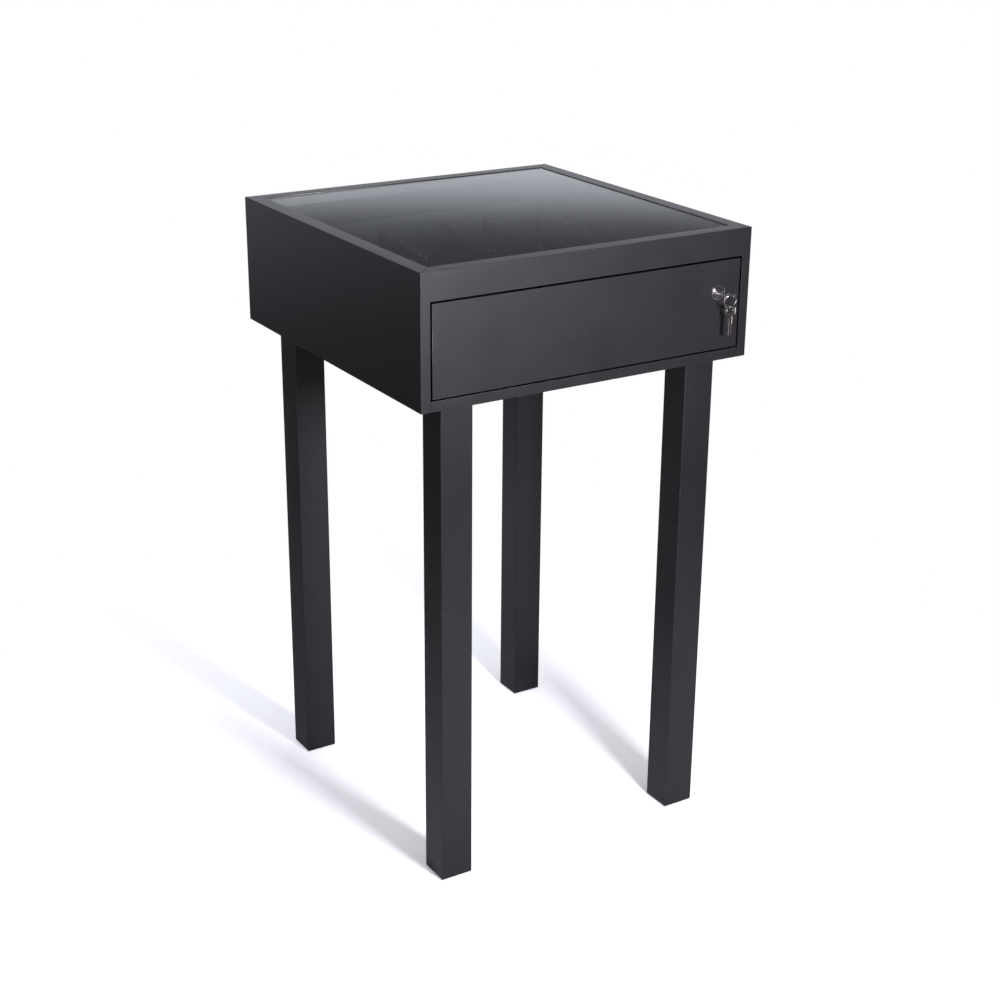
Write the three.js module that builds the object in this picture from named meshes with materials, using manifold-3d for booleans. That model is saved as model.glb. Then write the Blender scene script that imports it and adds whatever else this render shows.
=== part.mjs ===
// Display table: a square case with a glazed lid frame, on four square legs, with one key-locked
// display drawer on ball-bearing slides.
// Millimetres, +X right, +Y back, +Z up. The origin is on the floor, under the middle of the
// whole table, with the key that stands out of its lock.

import * as THREE from "three";
import { mergeVertices } from "three/addons/utils/BufferGeometryUtils.js";
import Module from "manifold-3d";

const wasm = await Module();
wasm.setup();

// Case boards
const CASE_WIDTH = 540;
const CASE_DEPTH = 540;
const CASE_HEIGHT = 190;
const TABLE_HEIGHT = 930;
const BOARD = 15;
const SEAT = 0.1; // glue line or seated face
const MITRE_GAP = 0.3;

// Glazed top frame
const RAIL_HEIGHT = 40;
const RIM_WIDTH = 23;
const LEDGE_WIDTH = 8;
const LEDGE_THICKNESS = 12;
const GLASS_THICKNESS = 5;
const GLASS_RECESS = 1;
const GLASS_EDGE_GAP = 0.8;
const TAPE_THICKNESS = 0.8;
const TAPE_WIDTH = 6;

// Legs, their bolts and glides
const LEG_SIZE = 50;
const LEG_INSET_X = 41;
const LEG_INSET_Y = 20;
const BOLT_RADIUS = 4;
const BOLT_GRIP = 50; // length inside the leg
const BOLT_HEAD_RADIUS = 8.5;
const BOLT_HEAD_HEIGHT = 5;
const BOLT_SOCKET_RADIUS = 3;
const BOLT_SOCKET_DEPTH = 3;
const BOLT_OFFSET = 12; // from the leg's axis, on one diagonal
const GLIDE_RADIUS = 16;
const GLIDE_THICKNESS = 4;
const GLIDE_PROUD = 1.5;
const GLIDE_STEM_RADIUS = 4;
const GLIDE_STEM_LENGTH = 15;
const HOLE_GAP = 0.3; // radial clearance of a fixed piece in its hole

// Drawer
const DRAWER_GAP_TOP = 3;
const DRAWER_GAP_SIDE = 2.5;
const DRAWER_GAP_BOTTOM = 2;
const DRAWER_BACK_CLEARANCE = 10;
const DRAWER_LIFT = 10; // box above the case floor
const DRAWER_SIDE_DROP = 12; // box top below the top of the drawer front
const DRAWER_BOARD = 12;
const DRAWER_FLOOR = 6;
const GROOVE_HEIGHT = 8;
const GROOVE_DEPTH = 6;
const LINER = 1.5;

// Ball-bearing slides
const SLIDE_SPACE = 12.7;
const SLIDE_HEIGHT = 45;
const SLIDE_SHEET = 1.2;
const SLIDE_LIP = 2; // flange edge short of the facing member
const SLIDE_SETBACK = 3;
const SLIDE_END_GAP = 2;
const BALL_GAP = 0.5;

// Cam lock
const LOCK_FROM_RIGHT = 55;
const LOCK_BELOW_TOP = 89;
const BEZEL_RADIUS = 11;
const BEZEL_THICKNESS = 2;
const BEZEL_CHAMFER = 0.8;
const LOCK_BODY_RADIUS = 9.5;
const PLUG_RADIUS = 6.5;
const RUNNING_GAP = 0.3;
const NUT_THICKNESS = 3.5;
const NUT_RADIUS = 12.5; // across corners
const LOCK_TAIL = 1.5; // body showing behind the nut
const TAIL_SQUARE = 7;
const CAM_THICKNESS = 2;
const CAM_WIDTH = 14;
const CAM_OVERLAP = 7; // reach behind the rail when locked
const CAM_SCREW_HEAD_RADIUS = 5.4;
const CAM_SCREW_HEAD = 2.2;
const CAM_SCREW_RADIUS = 2;
const CAM_SCREW_GRIP = 2; // length inside the plug's body
const STRIKE_WIDTH = 36;
const STRIKE_HEIGHT = 16;
const STRIKE_THICKNESS = 4;
const STRIKE_SCREW_RADIUS = 1.8;
const STRIKE_SCREW_HEAD_RADIUS = 3.4;
const STRIKE_SCREW_HEAD = 1.6;
const STRIKE_SCREW_GRIP = 9; // length inside the rail
const STRIKE_SCREW_FROM_END = 8;

// Keys and ring
const KEY_THICKNESS = 2.2;
const KEY_BOW = 16; // width and length of the bow
const KEY_BOW_CORNER = 5;
const KEY_BOW_HOLE = 9.6;
const KEY_SHANK_WIDTH = 7;
const KEY_SHANK_OUT = 11; // shank showing in front of the plug
const KEY_BLADE = 18; // length inside the plug
const KEY_TIP = 2.5;
const KEY_CUTS = [1.2, 1.9, 0.9, 1.6]; // depths of the cuts along the blade
const KEY_CUT_PITCH = 3.6;
const RING_OUTER_RADIUS = 11.5;
const RING_WIRE = 1.8;
const HANG_GAP = 0.3;
const SPARE_KEY_TURN = 62; // degrees from the drawer front's plane

// Display racks, two notched cheeks on two spacer bars each
const RACK_LENGTH = 115; // outside of the cheeks
const RACK_DEPTH = 240;
const RACK_SIDE_GAP = 31; // right rack to the drawer side
const RACK_SPACING = 70; // between the two racks
const RACK_BACK_GAP = 70; // rack to the drawer back
const RACK_DROP = 10; // tops below the rail
const RACK_SLOPE = 5.5; // degrees, down to the front
const CHEEK = 8;
const NOTCH_COUNT = 12;
const NOTCH_PITCH = 18;
const NOTCH_RADIUS = 6.5;
const NOTCH_DEPTH = 3.6;
const SPACER_HEIGHT = 24;
const SPACER_THICKNESS = 8;
const SPACER_LIFT = 18; // above the liner
const SPACER_FROM_END = 36;

// Smoothness of round pieces
const ROUND_SEGMENTS = 16;
const LOCK_SEGMENTS = 28;
const RING_STEPS = 32;
const RING_SIDES = 8;
const NOTCH_STEPS = 6;

// Places that several pieces share
const LEFT = -CASE_WIDTH / 2;
const RIGHT = CASE_WIDTH / 2;
const FRONT = -CASE_DEPTH / 2;
const BACK = CASE_DEPTH / 2;
const CASE_BOTTOM = TABLE_HEIGHT - CASE_HEIGHT;
const CASE_FLOOR = CASE_BOTTOM + BOARD;
const RAIL_BOTTOM = TABLE_HEIGHT - RAIL_HEIGHT;
const BOARD_TOP = RAIL_BOTTOM - SEAT;
const INSIDE_LEFT = LEFT + BOARD;
const INSIDE_RIGHT = RIGHT - BOARD;
const INSIDE_BACK = BACK - BOARD;
const REBATE = GLASS_RECESS + GLASS_THICKNESS + TAPE_THICKNESS + 2 * SEAT;
const GLASS_INSET = RIM_WIDTH + GLASS_EDGE_GAP;
const KEY_REACH = BEZEL_THICKNESS + KEY_SHANK_OUT + KEY_BOW;

// Finishes, one new material for each piece
const FINISHES = {
  satinBlack: { color: 0x26262a, roughness: 0.45, metalness: 0 },
  drawerBlack: { color: 0x1b1b1e, roughness: 0.6, metalness: 0 },
  linerBlack: { color: 0x121214, roughness: 0.95, metalness: 0 },
  glass: { color: 0xdfe8e6, roughness: 0.03, metalness: 0, transparent: true, opacity: 0.2 },
  rubber: { color: 0x161616, roughness: 0.9, metalness: 0 },
  nylon: { color: 0x202022, roughness: 0.6, metalness: 0 },
  zinc: { color: 0xb4b7bb, roughness: 0.35, metalness: 1 },
  chrome: { color: 0xd8dade, roughness: 0.12, metalness: 1 },
  nickel: { color: 0xc9c6be, roughness: 0.22, metalness: 1 },
};

/** Adds one named piece to a group, with a material of its own. */
function addPiece(parent, name, finish, geometry, position = [0, 0, 0]) {
  const piece = new THREE.Mesh(geometry, new THREE.MeshStandardMaterial(FINISHES[finish]));
  piece.name = name;
  piece.position.set(...position);
  parent.add(piece);
  return piece;
}

/** Adds a rectangular board that fills three spans. */
function addBoard(parent, name, finish, [x0, x1], [y0, y1], [z0, z1]) {
  const geometry = new THREE.BoxGeometry(x1 - x0, y1 - y0, z1 - z0);
  return addPiece(parent, name, finish, geometry, [(x0 + x1) / 2, (y0 + y1) / 2, (z0 + z1) / 2]);
}

/** Adds a group at a place. */
function addGroup(parent, x, y, z) {
  const group = new THREE.Group();
  group.position.set(x, y, z);
  parent.add(group);
  return group;
}

/** A closed outline through points. */
function outline(points) {
  return new THREE.Shape(points.map(([x, y]) => new THREE.Vector2(x, y)));
}

/** Cuts a round hole in an outline. */
function addHole(shape, x, y, radius) {
  const hole = new THREE.Path();
  hole.absarc(x, y, radius, 0, 2 * Math.PI, true);
  shape.holes.push(hole);
}

function extrude(shape, depth, curveSegments = ROUND_SEGMENTS / 2) {
  return new THREE.ExtrudeGeometry(shape, { depth, curveSegments, bevelEnabled: false });
}

const X_AXIS = new THREE.Vector3(1, 0, 0);
const Y_AXIS = new THREE.Vector3(0, 1, 0);
const Z_AXIS = new THREE.Vector3(0, 0, 1);

/** Extrudes an outline drawn in Y and Z along +X. */
function extrudeAlongX(shape, length) {
  return extrude(shape, length).applyMatrix4(new THREE.Matrix4().makeBasis(Y_AXIS, Z_AXIS, X_AXIS));
}

/** Extrudes an outline drawn in X and Z along +Y. */
function extrudeAlongY(shape, length) {
  const basis = new THREE.Matrix4().makeBasis(X_AXIS, Z_AXIS, Y_AXIS.clone().negate());
  return extrude(shape, length).applyMatrix4(basis).translate(0, length, 0);
}

/** Turns a closed profile of [radius, height] points round the Y axis. */
function turnRoundY(profile, segments) {
  const points = [...profile, profile[0]].map(([radius, height]) => new THREE.Vector2(radius, height));
  return new THREE.LatheGeometry(points, segments);
}

/** Turns a closed profile of [radius, height] points round the Z axis. */
function turnRoundZ(profile, segments = ROUND_SEGMENTS) {
  return turnRoundY(profile, segments).rotateX(Math.PI / 2);
}

/** A cylinder along Z, from height z0 to z1. */
function cylinderZ(radius, z0, z1, x = 0, y = 0) {
  const geometry = new THREE.CylinderGeometry(radius, radius, z1 - z0, ROUND_SEGMENTS);
  return geometry.rotateX(Math.PI / 2).translate(x, y, (z0 + z1) / 2);
}

/** A cylinder along Y, from depth y0 to y1. */
function cylinderY(radius, y0, y1, x = 0, z = 0) {
  const geometry = new THREE.CylinderGeometry(radius, radius, y1 - y0, LOCK_SEGMENTS);
  return geometry.translate(x, (y0 + y1) / 2, z);
}

/** A box that fills three spans. */
function boxSpan([x0, x1], [y0, y1], [z0, z1]) {
  const geometry = new THREE.BoxGeometry(x1 - x0, y1 - y0, z1 - z0);
  return geometry.translate((x0 + x1) / 2, (y0 + y1) / 2, (z0 + z1) / 2);
}

function toSolid(geometry) {
  const bare = geometry.clone();
  bare.deleteAttribute("normal");
  bare.deleteAttribute("uv");
  const merged = mergeVertices(bare);
  const vertProperties = new Float32Array(merged.attributes.position.array);
  const triVerts = new Uint32Array(merged.index.array);
  return new wasm.Manifold(new wasm.Mesh({ numProp: 3, vertProperties, triVerts }));
}

function fromSolid(solid) {
  const mesh = solid.getMesh();
  const geometry = new THREE.BufferGeometry();
  geometry.setAttribute("position", new THREE.BufferAttribute(mesh.vertProperties, 3));
  geometry.setIndex(new THREE.BufferAttribute(mesh.triVerts, 1));
  geometry.computeVertexNormals();
  return geometry;
}

/** Cuts tools out of a body. */
function cut(body, ...tools) {
  return fromSolid(tools.reduce((solid, tool) => solid.subtract(toSolid(tool)), toSolid(body)));
}

/** Joins two bodies. */
function join(body, other) {
  return fromSolid(toSolid(body).add(toSolid(other)));
}

const table = new THREE.Group();
table.position.y = KEY_REACH / 2;
const lockX = RIGHT - LOCK_FROM_RIGHT;
const lockZ = TABLE_HEIGHT - LOCK_BELOW_TOP;

// Leg places, and the bolts of one leg from its axis
const legX = CASE_WIDTH / 2 - LEG_INSET_X - LEG_SIZE / 2;
const legY = CASE_DEPTH / 2 - LEG_INSET_Y - LEG_SIZE / 2;
const LEGS = [
  { name: "front_left", x: -legX, y: -legY },
  { name: "front_right", x: legX, y: -legY },
  { name: "back_left", x: -legX, y: legY },
  { name: "back_right", x: legX, y: legY },
];
const BOLTS = [
  { name: "a", offset: -BOLT_OFFSET },
  { name: "b", offset: BOLT_OFFSET },
];

/** Side, back and bottom boards of the case. */
function addCaseBoards() {
  const boardZ = [CASE_BOTTOM, BOARD_TOP];
  const innerX = [INSIDE_LEFT + SEAT, INSIDE_RIGHT - SEAT];
  addBoard(table, "left_side_panel", "satinBlack", [LEFT, INSIDE_LEFT], [FRONT, BACK], boardZ);
  addBoard(table, "right_side_panel", "satinBlack", [INSIDE_RIGHT, RIGHT], [FRONT, BACK], boardZ);
  addBoard(table, "back_panel", "satinBlack", innerX, [INSIDE_BACK, BACK], boardZ);

  const depth = INSIDE_BACK - SEAT - FRONT;
  const floor = outline([
    [innerX[0], FRONT],
    [innerX[1], FRONT],
    [innerX[1], FRONT + depth],
    [innerX[0], FRONT + depth],
  ]);
  for (const leg of LEGS) {
    for (const bolt of BOLTS) {
      addHole(floor, leg.x + bolt.offset, leg.y + bolt.offset, BOLT_RADIUS + HOLE_GAP);
    }
  }
  addPiece(table, "bottom_panel", "satinBlack", extrude(floor, BOARD), [0, 0, CASE_BOTTOM]);
}

/** One bar of the top frame, along X with its outer face at y = 0 and its top at z = 0. */
function mitredBar(length) {
  const ledgeBottom = REBATE + LEDGE_THICKNESS;
  const ledgeEdge = RIM_WIDTH + LEDGE_WIDTH;
  const section = outline([
    [0, 0],
    [0, -RAIL_HEIGHT],
    [BOARD, -RAIL_HEIGHT],
    [BOARD, -ledgeBottom],
    [ledgeEdge, -ledgeBottom],
    [ledgeEdge, -REBATE],
    [RIM_WIDTH, -REBATE],
    [RIM_WIDTH, 0],
  ]);
  const bar = extrudeAlongX(section, length).translate(-length / 2, 0, 0);
  const corners = bar.attributes.position;
  for (let i = 0; i < corners.count; i += 1) {
    const end = corners.getX(i);
    const mitre = corners.getY(i) + MITRE_GAP / Math.SQRT2;
    corners.setX(i, end - Math.sign(end) * mitre);
  }
  return bar;
}

/** Mitred frame with a rebate for the glass, and the lock's strike plate behind the front bar. */
function addTopFrame() {
  const strikeScrews = [-1, 1].map((side) => ({
    name: side < 0 ? "left" : "right",
    x: lockX + side * (STRIKE_WIDTH / 2 - STRIKE_SCREW_FROM_END),
    z: RAIL_BOTTOM + STRIKE_HEIGHT / 2,
  }));
  const bars = [
    { name: "front", length: CASE_WIDTH, x: 0, y: FRONT, turn: 0 },
    { name: "right", length: CASE_DEPTH, x: RIGHT, y: 0, turn: Math.PI / 2 },
    { name: "back", length: CASE_WIDTH, x: 0, y: BACK, turn: Math.PI },
    { name: "left", length: CASE_DEPTH, x: LEFT, y: 0, turn: -Math.PI / 2 },
  ];
  for (const bar of bars) {
    let geometry = mitredBar(bar.length);
    if (bar.name === "front") {
      const pilots = strikeScrews.map((screw) => {
        const depth = BOARD - STRIKE_SCREW_GRIP - HOLE_GAP;
        const radius = STRIKE_SCREW_RADIUS + HOLE_GAP;
        return cylinderY(radius, depth, BOARD + 1, screw.x, screw.z - TABLE_HEIGHT);
      });
      geometry = cut(geometry, ...pilots);
    }
    const piece = addPiece(table, `top_frame_${bar.name}`, "satinBlack", geometry, [bar.x, bar.y, TABLE_HEIGHT]);
    piece.rotation.z = bar.turn;
  }

  const railBack = FRONT + BOARD + SEAT;
  const strike = outline([
    [lockX - STRIKE_WIDTH / 2, RAIL_BOTTOM],
    [lockX + STRIKE_WIDTH / 2, RAIL_BOTTOM],
    [lockX + STRIKE_WIDTH / 2, RAIL_BOTTOM + STRIKE_HEIGHT],
    [lockX - STRIKE_WIDTH / 2, RAIL_BOTTOM + STRIKE_HEIGHT],
  ]);
  const headSeat = STRIKE_THICKNESS - STRIKE_SCREW_HEAD;
  const headPockets = strikeScrews.map((screw) => {
    addHole(strike, screw.x, screw.z, STRIKE_SCREW_RADIUS + HOLE_GAP);
    const radius = STRIKE_SCREW_HEAD_RADIUS + HOLE_GAP;
    return cylinderY(radius, headSeat - SEAT, STRIKE_THICKNESS + 1, screw.x, screw.z);
  });
  const plate = cut(extrudeAlongY(strike, STRIKE_THICKNESS), ...headPockets);
  addPiece(table, "lock_strike", "zinc", plate, [0, railBack, 0]);

  const headBack = STRIKE_THICKNESS - SEAT;
  const headFront = headBack - STRIKE_SCREW_HEAD + SEAT;
  const tip = -SEAT - STRIKE_SCREW_GRIP;
  const screwProfile = [
    [0, tip],
    [STRIKE_SCREW_RADIUS, tip],
    [STRIKE_SCREW_RADIUS, headFront],
    [STRIKE_SCREW_HEAD_RADIUS, headFront],
    [STRIKE_SCREW_HEAD_RADIUS, headBack],
    [0, headBack],
  ];
  for (const screw of strikeScrews) {
    const geometry = turnRoundY(screwProfile, ROUND_SEGMENTS);
    addPiece(table, `strike_screw_${screw.name}`, "zinc", geometry, [screw.x, railBack, screw.z]);
  }
}

/** Glass pane and the tape that it lies on. */
function addGlazing() {
  const glassX = [LEFT + GLASS_INSET, RIGHT - GLASS_INSET];
  const glassY = [FRONT + GLASS_INSET, BACK - GLASS_INSET];
  const glassTop = TABLE_HEIGHT - GLASS_RECESS;
  const glassBottom = glassTop - GLASS_THICKNESS;
  addBoard(table, "glass_pane", "glass", glassX, glassY, [glassBottom, glassTop]);

  const ring = outline([
    [glassX[0], glassY[0]],
    [glassX[1], glassY[0]],
    [glassX[1], glassY[1]],
    [glassX[0], glassY[1]],
  ]);
  ring.holes.push(
    outline([
      [glassX[0] + TAPE_WIDTH, glassY[0] + TAPE_WIDTH],
      [glassX[0] + TAPE_WIDTH, glassY[1] - TAPE_WIDTH],
      [glassX[1] - TAPE_WIDTH, glassY[1] - TAPE_WIDTH],
      [glassX[1] - TAPE_WIDTH, glassY[0] + TAPE_WIDTH],
    ]),
  );
  const tapeBottom = glassBottom - SEAT - TAPE_THICKNESS;
  addPiece(table, "glazing_tape", "rubber", extrude(ring, TAPE_THICKNESS), [0, 0, tapeBottom]);
}

/** Legs with their glides, and the bolts that hold them from inside the case. */
function addLegs() {
  const half = LEG_SIZE / 2;
  const legTop = CASE_BOTTOM - SEAT;
  const recessTop = GLIDE_THICKNESS + SEAT;
  const stemTop = GLIDE_THICKNESS + GLIDE_STEM_LENGTH;
  const boltTip = legTop - BOLT_GRIP;
  const headBottom = CASE_FLOOR + SEAT;
  const headTop = headBottom + BOLT_HEAD_HEIGHT;

  const legBody = boxSpan([-half, half], [-half, half], [GLIDE_PROUD, legTop]);
  const boltHoles = BOLTS.map((bolt) => {
    return cylinderZ(BOLT_RADIUS + HOLE_GAP, boltTip - HOLE_GAP, legTop + 1, bolt.offset, bolt.offset);
  });
  const glideRecess = cylinderZ(GLIDE_RADIUS + HOLE_GAP, 0, recessTop);
  const stemHole = cylinderZ(GLIDE_STEM_RADIUS + HOLE_GAP, 0, stemTop + HOLE_GAP);
  const legGeometry = cut(legBody, ...boltHoles, glideRecess, stemHole);

  const glideGeometry = turnRoundZ([
    [0, 0],
    [GLIDE_RADIUS, 0],
    [GLIDE_RADIUS, GLIDE_THICKNESS],
    [GLIDE_STEM_RADIUS, GLIDE_THICKNESS],
    [GLIDE_STEM_RADIUS, stemTop],
    [0, stemTop],
  ]);
  const boltGeometry = turnRoundZ([
    [0, boltTip],
    [BOLT_RADIUS, boltTip],
    [BOLT_RADIUS, headBottom],
    [BOLT_HEAD_RADIUS, headBottom],
    [BOLT_HEAD_RADIUS, headTop],
    [BOLT_SOCKET_RADIUS, headTop],
    [BOLT_SOCKET_RADIUS, headTop - BOLT_SOCKET_DEPTH],
    [0, headTop - BOLT_SOCKET_DEPTH],
  ]);

  for (const leg of LEGS) {
    const place = addGroup(table, leg.x, leg.y, 0);
    addPiece(place, `leg_${leg.name}`, "satinBlack", legGeometry);
    addPiece(place, `glide_${leg.name}`, "nylon", glideGeometry);
    for (const bolt of BOLTS) {
      addPiece(place, `leg_bolt_${leg.name}_${bolt.name}`, "zinc", boltGeometry, [bolt.offset, bolt.offset, 0]);
    }
  }
}

// Drawer places
const frontBack = FRONT + BOARD; // back face of the drawer front
const frontTop = RAIL_BOTTOM - DRAWER_GAP_TOP;
const boxFront = frontBack + SEAT;
const boxBack = INSIDE_BACK - DRAWER_BACK_CLEARANCE;
const boxRight = INSIDE_RIGHT - SLIDE_SPACE;
const boxInsideRight = boxRight - DRAWER_BOARD;
const boxBottom = CASE_FLOOR + DRAWER_LIFT;
const boxTop = frontTop - DRAWER_SIDE_DROP;
const drawerFloorBottom = boxBottom + GROOVE_HEIGHT + SEAT;
const drawerFloorTop = drawerFloorBottom + DRAWER_FLOOR;
const linerTop = drawerFloorTop + SEAT + LINER;

/** Drawer front and box. */
function addDrawer() {
  const left = INSIDE_LEFT + DRAWER_GAP_SIDE;
  const right = INSIDE_RIGHT - DRAWER_GAP_SIDE;
  const bottom = CASE_FLOOR + DRAWER_GAP_BOTTOM;
  const front = outline([
    [left, bottom],
    [right, bottom],
    [right, frontTop],
    [left, frontTop],
  ]);
  addHole(front, lockX, lockZ, LOCK_BODY_RADIUS + HOLE_GAP);
  addPiece(table, "drawer_front", "satinBlack", extrudeAlongY(front, BOARD), [0, FRONT, 0]);

  const grooveTop = drawerFloorTop + SEAT;
  const grooveBottom = drawerFloorBottom - SEAT;
  const grooveX = boxInsideRight + GROOVE_DEPTH;
  const sides = [
    { name: "left", sign: -1 },
    { name: "right", sign: 1 },
  ];
  for (const { name, sign } of sides) {
    const section = outline([
      [sign * boxRight, boxBottom],
      [sign * boxRight, boxTop],
      [sign * boxInsideRight, boxTop],
      [sign * boxInsideRight, grooveTop],
      [sign * grooveX, grooveTop],
      [sign * grooveX, grooveBottom],
      [sign * boxInsideRight, grooveBottom],
      [sign * boxInsideRight, boxBottom],
    ]);
    const geometry = extrudeAlongY(section, boxBack - boxFront);
    addPiece(table, `drawer_${name}_side`, "drawerBlack", geometry, [0, boxFront, 0]);
  }

  const floorEdge = grooveX - SEAT;
  const innerEdge = boxInsideRight - SEAT;
  const backFront = boxBack - DRAWER_BOARD;
  addBoard(table, "drawer_bottom", "drawerBlack", [-floorEdge, floorEdge], [boxFront, boxBack],
    [drawerFloorBottom, drawerFloorTop]);
  addBoard(table, "drawer_back", "drawerBlack", [-innerEdge, innerEdge], [backFront, boxBack],
    [drawerFloorTop + SEAT, boxTop]);
  addBoard(table, "drawer_liner", "linerBlack", [-innerEdge, innerEdge], [boxFront, backFront - SEAT],
    [drawerFloorTop + SEAT, linerTop]);
}

/** A sheet-metal channel, from the case side inwards: web depth, edge depth and height outside. */
function channel(web, edge, height) {
  const turn = Math.sign(edge - web);
  const half = height / 2;
  const inner = half - SLIDE_SHEET;
  return [
    [web, -half],
    [edge, -half],
    [edge, -inner],
    [web + turn * SLIDE_SHEET, -inner],
    [web + turn * SLIDE_SHEET, inner],
    [edge, inner],
    [edge, half],
    [web, half],
  ];
}

/** Three-part drawer slides, one on each side. */
function addSlides() {
  const step = SLIDE_SHEET + BALL_GAP;
  const drawerWeb = SLIDE_SPACE - SEAT;
  const members = [
    { name: "case", profile: channel(SEAT, SLIDE_SPACE - SLIDE_LIP, SLIDE_HEIGHT) },
    { name: "middle", profile: channel(SEAT + step, drawerWeb - step, SLIDE_HEIGHT - 2 * step) },
    { name: "drawer", profile: channel(drawerWeb, SEAT + 2 * step, SLIDE_HEIGHT - 4 * step) },
  ];
  const start = frontBack + SLIDE_SETBACK;
  const length = boxBack - SLIDE_END_GAP - start;
  const height = (boxBottom + boxTop) / 2;
  const sides = [
    { name: "left", wall: INSIDE_LEFT, sign: 1 },
    { name: "right", wall: INSIDE_RIGHT, sign: -1 },
  ];
  for (const side of sides) {
    for (const member of members) {
      const section = outline(member.profile.map(([depth, z]) => [side.sign * depth, z]));
      const geometry = extrudeAlongY(section, length);
      addPiece(table, `${side.name}_slide_${member.name}_member`, "zinc", geometry, [side.wall, start, height]);
    }
  }
}

// Lock places, along Y from the drawer front's face
const bodyEnd = BOARD + SEAT + NUT_THICKNESS + LOCK_TAIL;
const camFront = bodyEnd + RUNNING_GAP;
const camBack = camFront + CAM_THICKNESS;

/** Cam lock: body, nut, plug, cam and cam screw. */
function addLock() {
  const lock = addGroup(table, lockX, FRONT, lockZ);
  const bore = PLUG_RADIUS + RUNNING_GAP;
  const bodyGeometry = turnRoundY([
    [bore, -BEZEL_THICKNESS],
    [BEZEL_RADIUS - BEZEL_CHAMFER, -BEZEL_THICKNESS],
    [BEZEL_RADIUS, BEZEL_CHAMFER - BEZEL_THICKNESS],
    [BEZEL_RADIUS, -SEAT],
    [LOCK_BODY_RADIUS, -SEAT],
    [LOCK_BODY_RADIUS, bodyEnd],
    [bore, bodyEnd],
  ], LOCK_SEGMENTS);
  addPiece(lock, "lock_body", "chrome", bodyGeometry);

  const hexagon = outline([0, 1, 2, 3, 4, 5].map((corner) => {
    const angle = corner * Math.PI / 3;
    return [NUT_RADIUS * Math.cos(angle), NUT_RADIUS * Math.sin(angle)];
  }));
  addHole(hexagon, 0, 0, LOCK_BODY_RADIUS + HOLE_GAP);
  addPiece(lock, "lock_nut", "zinc", extrudeAlongY(hexagon, NUT_THICKNESS), [0, BOARD + SEAT, 0]);

  const halfTail = TAIL_SQUARE / 2;
  const tailEnd = camBack - SEAT;
  const barrel = cylinderY(PLUG_RADIUS, -BEZEL_THICKNESS, bodyEnd);
  const tail = boxSpan([-halfTail, halfTail], [bodyEnd - 1, tailEnd], [-halfTail, halfTail]);
  const slotX = KEY_SHANK_WIDTH / 2 + RUNNING_GAP;
  const slotZ = KEY_THICKNESS / 2 + RUNNING_GAP;
  const slotEnd = KEY_BLADE + RUNNING_GAP - BEZEL_THICKNESS;
  const keyway = boxSpan([-slotX, slotX], [-BEZEL_THICKNESS - 1, slotEnd], [-slotZ, slotZ]);
  const screwTip = bodyEnd - CAM_SCREW_GRIP;
  const screwHole = cylinderY(CAM_SCREW_RADIUS + HOLE_GAP, screwTip - HOLE_GAP, tailEnd + 1);
  addPiece(lock, "lock_plug", "chrome", cut(join(barrel, tail), keyway, screwHole));

  const reach = LOCK_BELOW_TOP - RAIL_HEIGHT + CAM_OVERLAP;
  const halfCam = CAM_WIDTH / 2;
  const camShape = new THREE.Shape();
  camShape.absarc(0, 0, halfCam, -Math.PI / 2, Math.PI / 2, false);
  camShape.absarc(halfCam - reach, 0, halfCam, Math.PI / 2, 1.5 * Math.PI, false);
  const halfHole = halfTail + HOLE_GAP;
  camShape.holes.push(
    outline([
      [-halfHole, -halfHole],
      [-halfHole, halfHole],
      [halfHole, halfHole],
      [halfHole, -halfHole],
    ]),
  );
  addPiece(lock, "lock_cam", "zinc", extrudeAlongY(camShape, CAM_THICKNESS), [0, camFront, 0]);

  const headFront = camBack + SEAT;
  const screwGeometry = turnRoundY([
    [0, screwTip],
    [CAM_SCREW_RADIUS, screwTip],
    [CAM_SCREW_RADIUS, headFront],
    [CAM_SCREW_HEAD_RADIUS, headFront],
    [CAM_SCREW_HEAD_RADIUS, headFront + CAM_SCREW_HEAD],
    [0, headFront + CAM_SCREW_HEAD],
  ], ROUND_SEGMENTS);
  addPiece(lock, "cam_screw", "zinc", screwGeometry);
}

/** A flat key in X and Y: the bow's hole is at the origin and the blade runs along +Y. */
function keyGeometry() {
  const half = KEY_BOW / 2;
  const shank = KEY_SHANK_WIDTH / 2;
  const bladeStart = half + KEY_SHANK_OUT;
  const tip = bladeStart + KEY_BLADE;
  const shape = new THREE.Shape();
  shape.moveTo(-shank, half);
  shape.lineTo(KEY_BOW_CORNER - half, half);
  shape.absarc(KEY_BOW_CORNER - half, half - KEY_BOW_CORNER, KEY_BOW_CORNER, Math.PI / 2, Math.PI, false);
  shape.absarc(KEY_BOW_CORNER - half, KEY_BOW_CORNER - half, KEY_BOW_CORNER, Math.PI, 1.5 * Math.PI, false);
  shape.absarc(half - KEY_BOW_CORNER, KEY_BOW_CORNER - half, KEY_BOW_CORNER, 1.5 * Math.PI, 2 * Math.PI, false);
  shape.absarc(half - KEY_BOW_CORNER, half - KEY_BOW_CORNER, KEY_BOW_CORNER, 0, Math.PI / 2, false);
  shape.lineTo(shank, half);
  KEY_CUTS.forEach((depth, index) => {
    const middle = bladeStart + (index + 0.7) * KEY_CUT_PITCH;
    shape.lineTo(shank, middle - KEY_CUT_PITCH / 2);
    shape.lineTo(shank - depth, middle);
  });
  const lastCut = bladeStart + (KEY_CUTS.length + 0.2) * KEY_CUT_PITCH;
  shape.lineTo(shank, Math.min(lastCut, tip - KEY_TIP));
  shape.lineTo(shank - KEY_TIP, tip);
  shape.lineTo(KEY_TIP - shank, tip);
  shape.lineTo(-shank, tip - KEY_TIP);
  addHole(shape, 0, 0, KEY_BOW_HOLE / 2);
  return extrude(shape, KEY_THICKNESS).translate(0, 0, -KEY_THICKNESS / 2);
}

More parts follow.
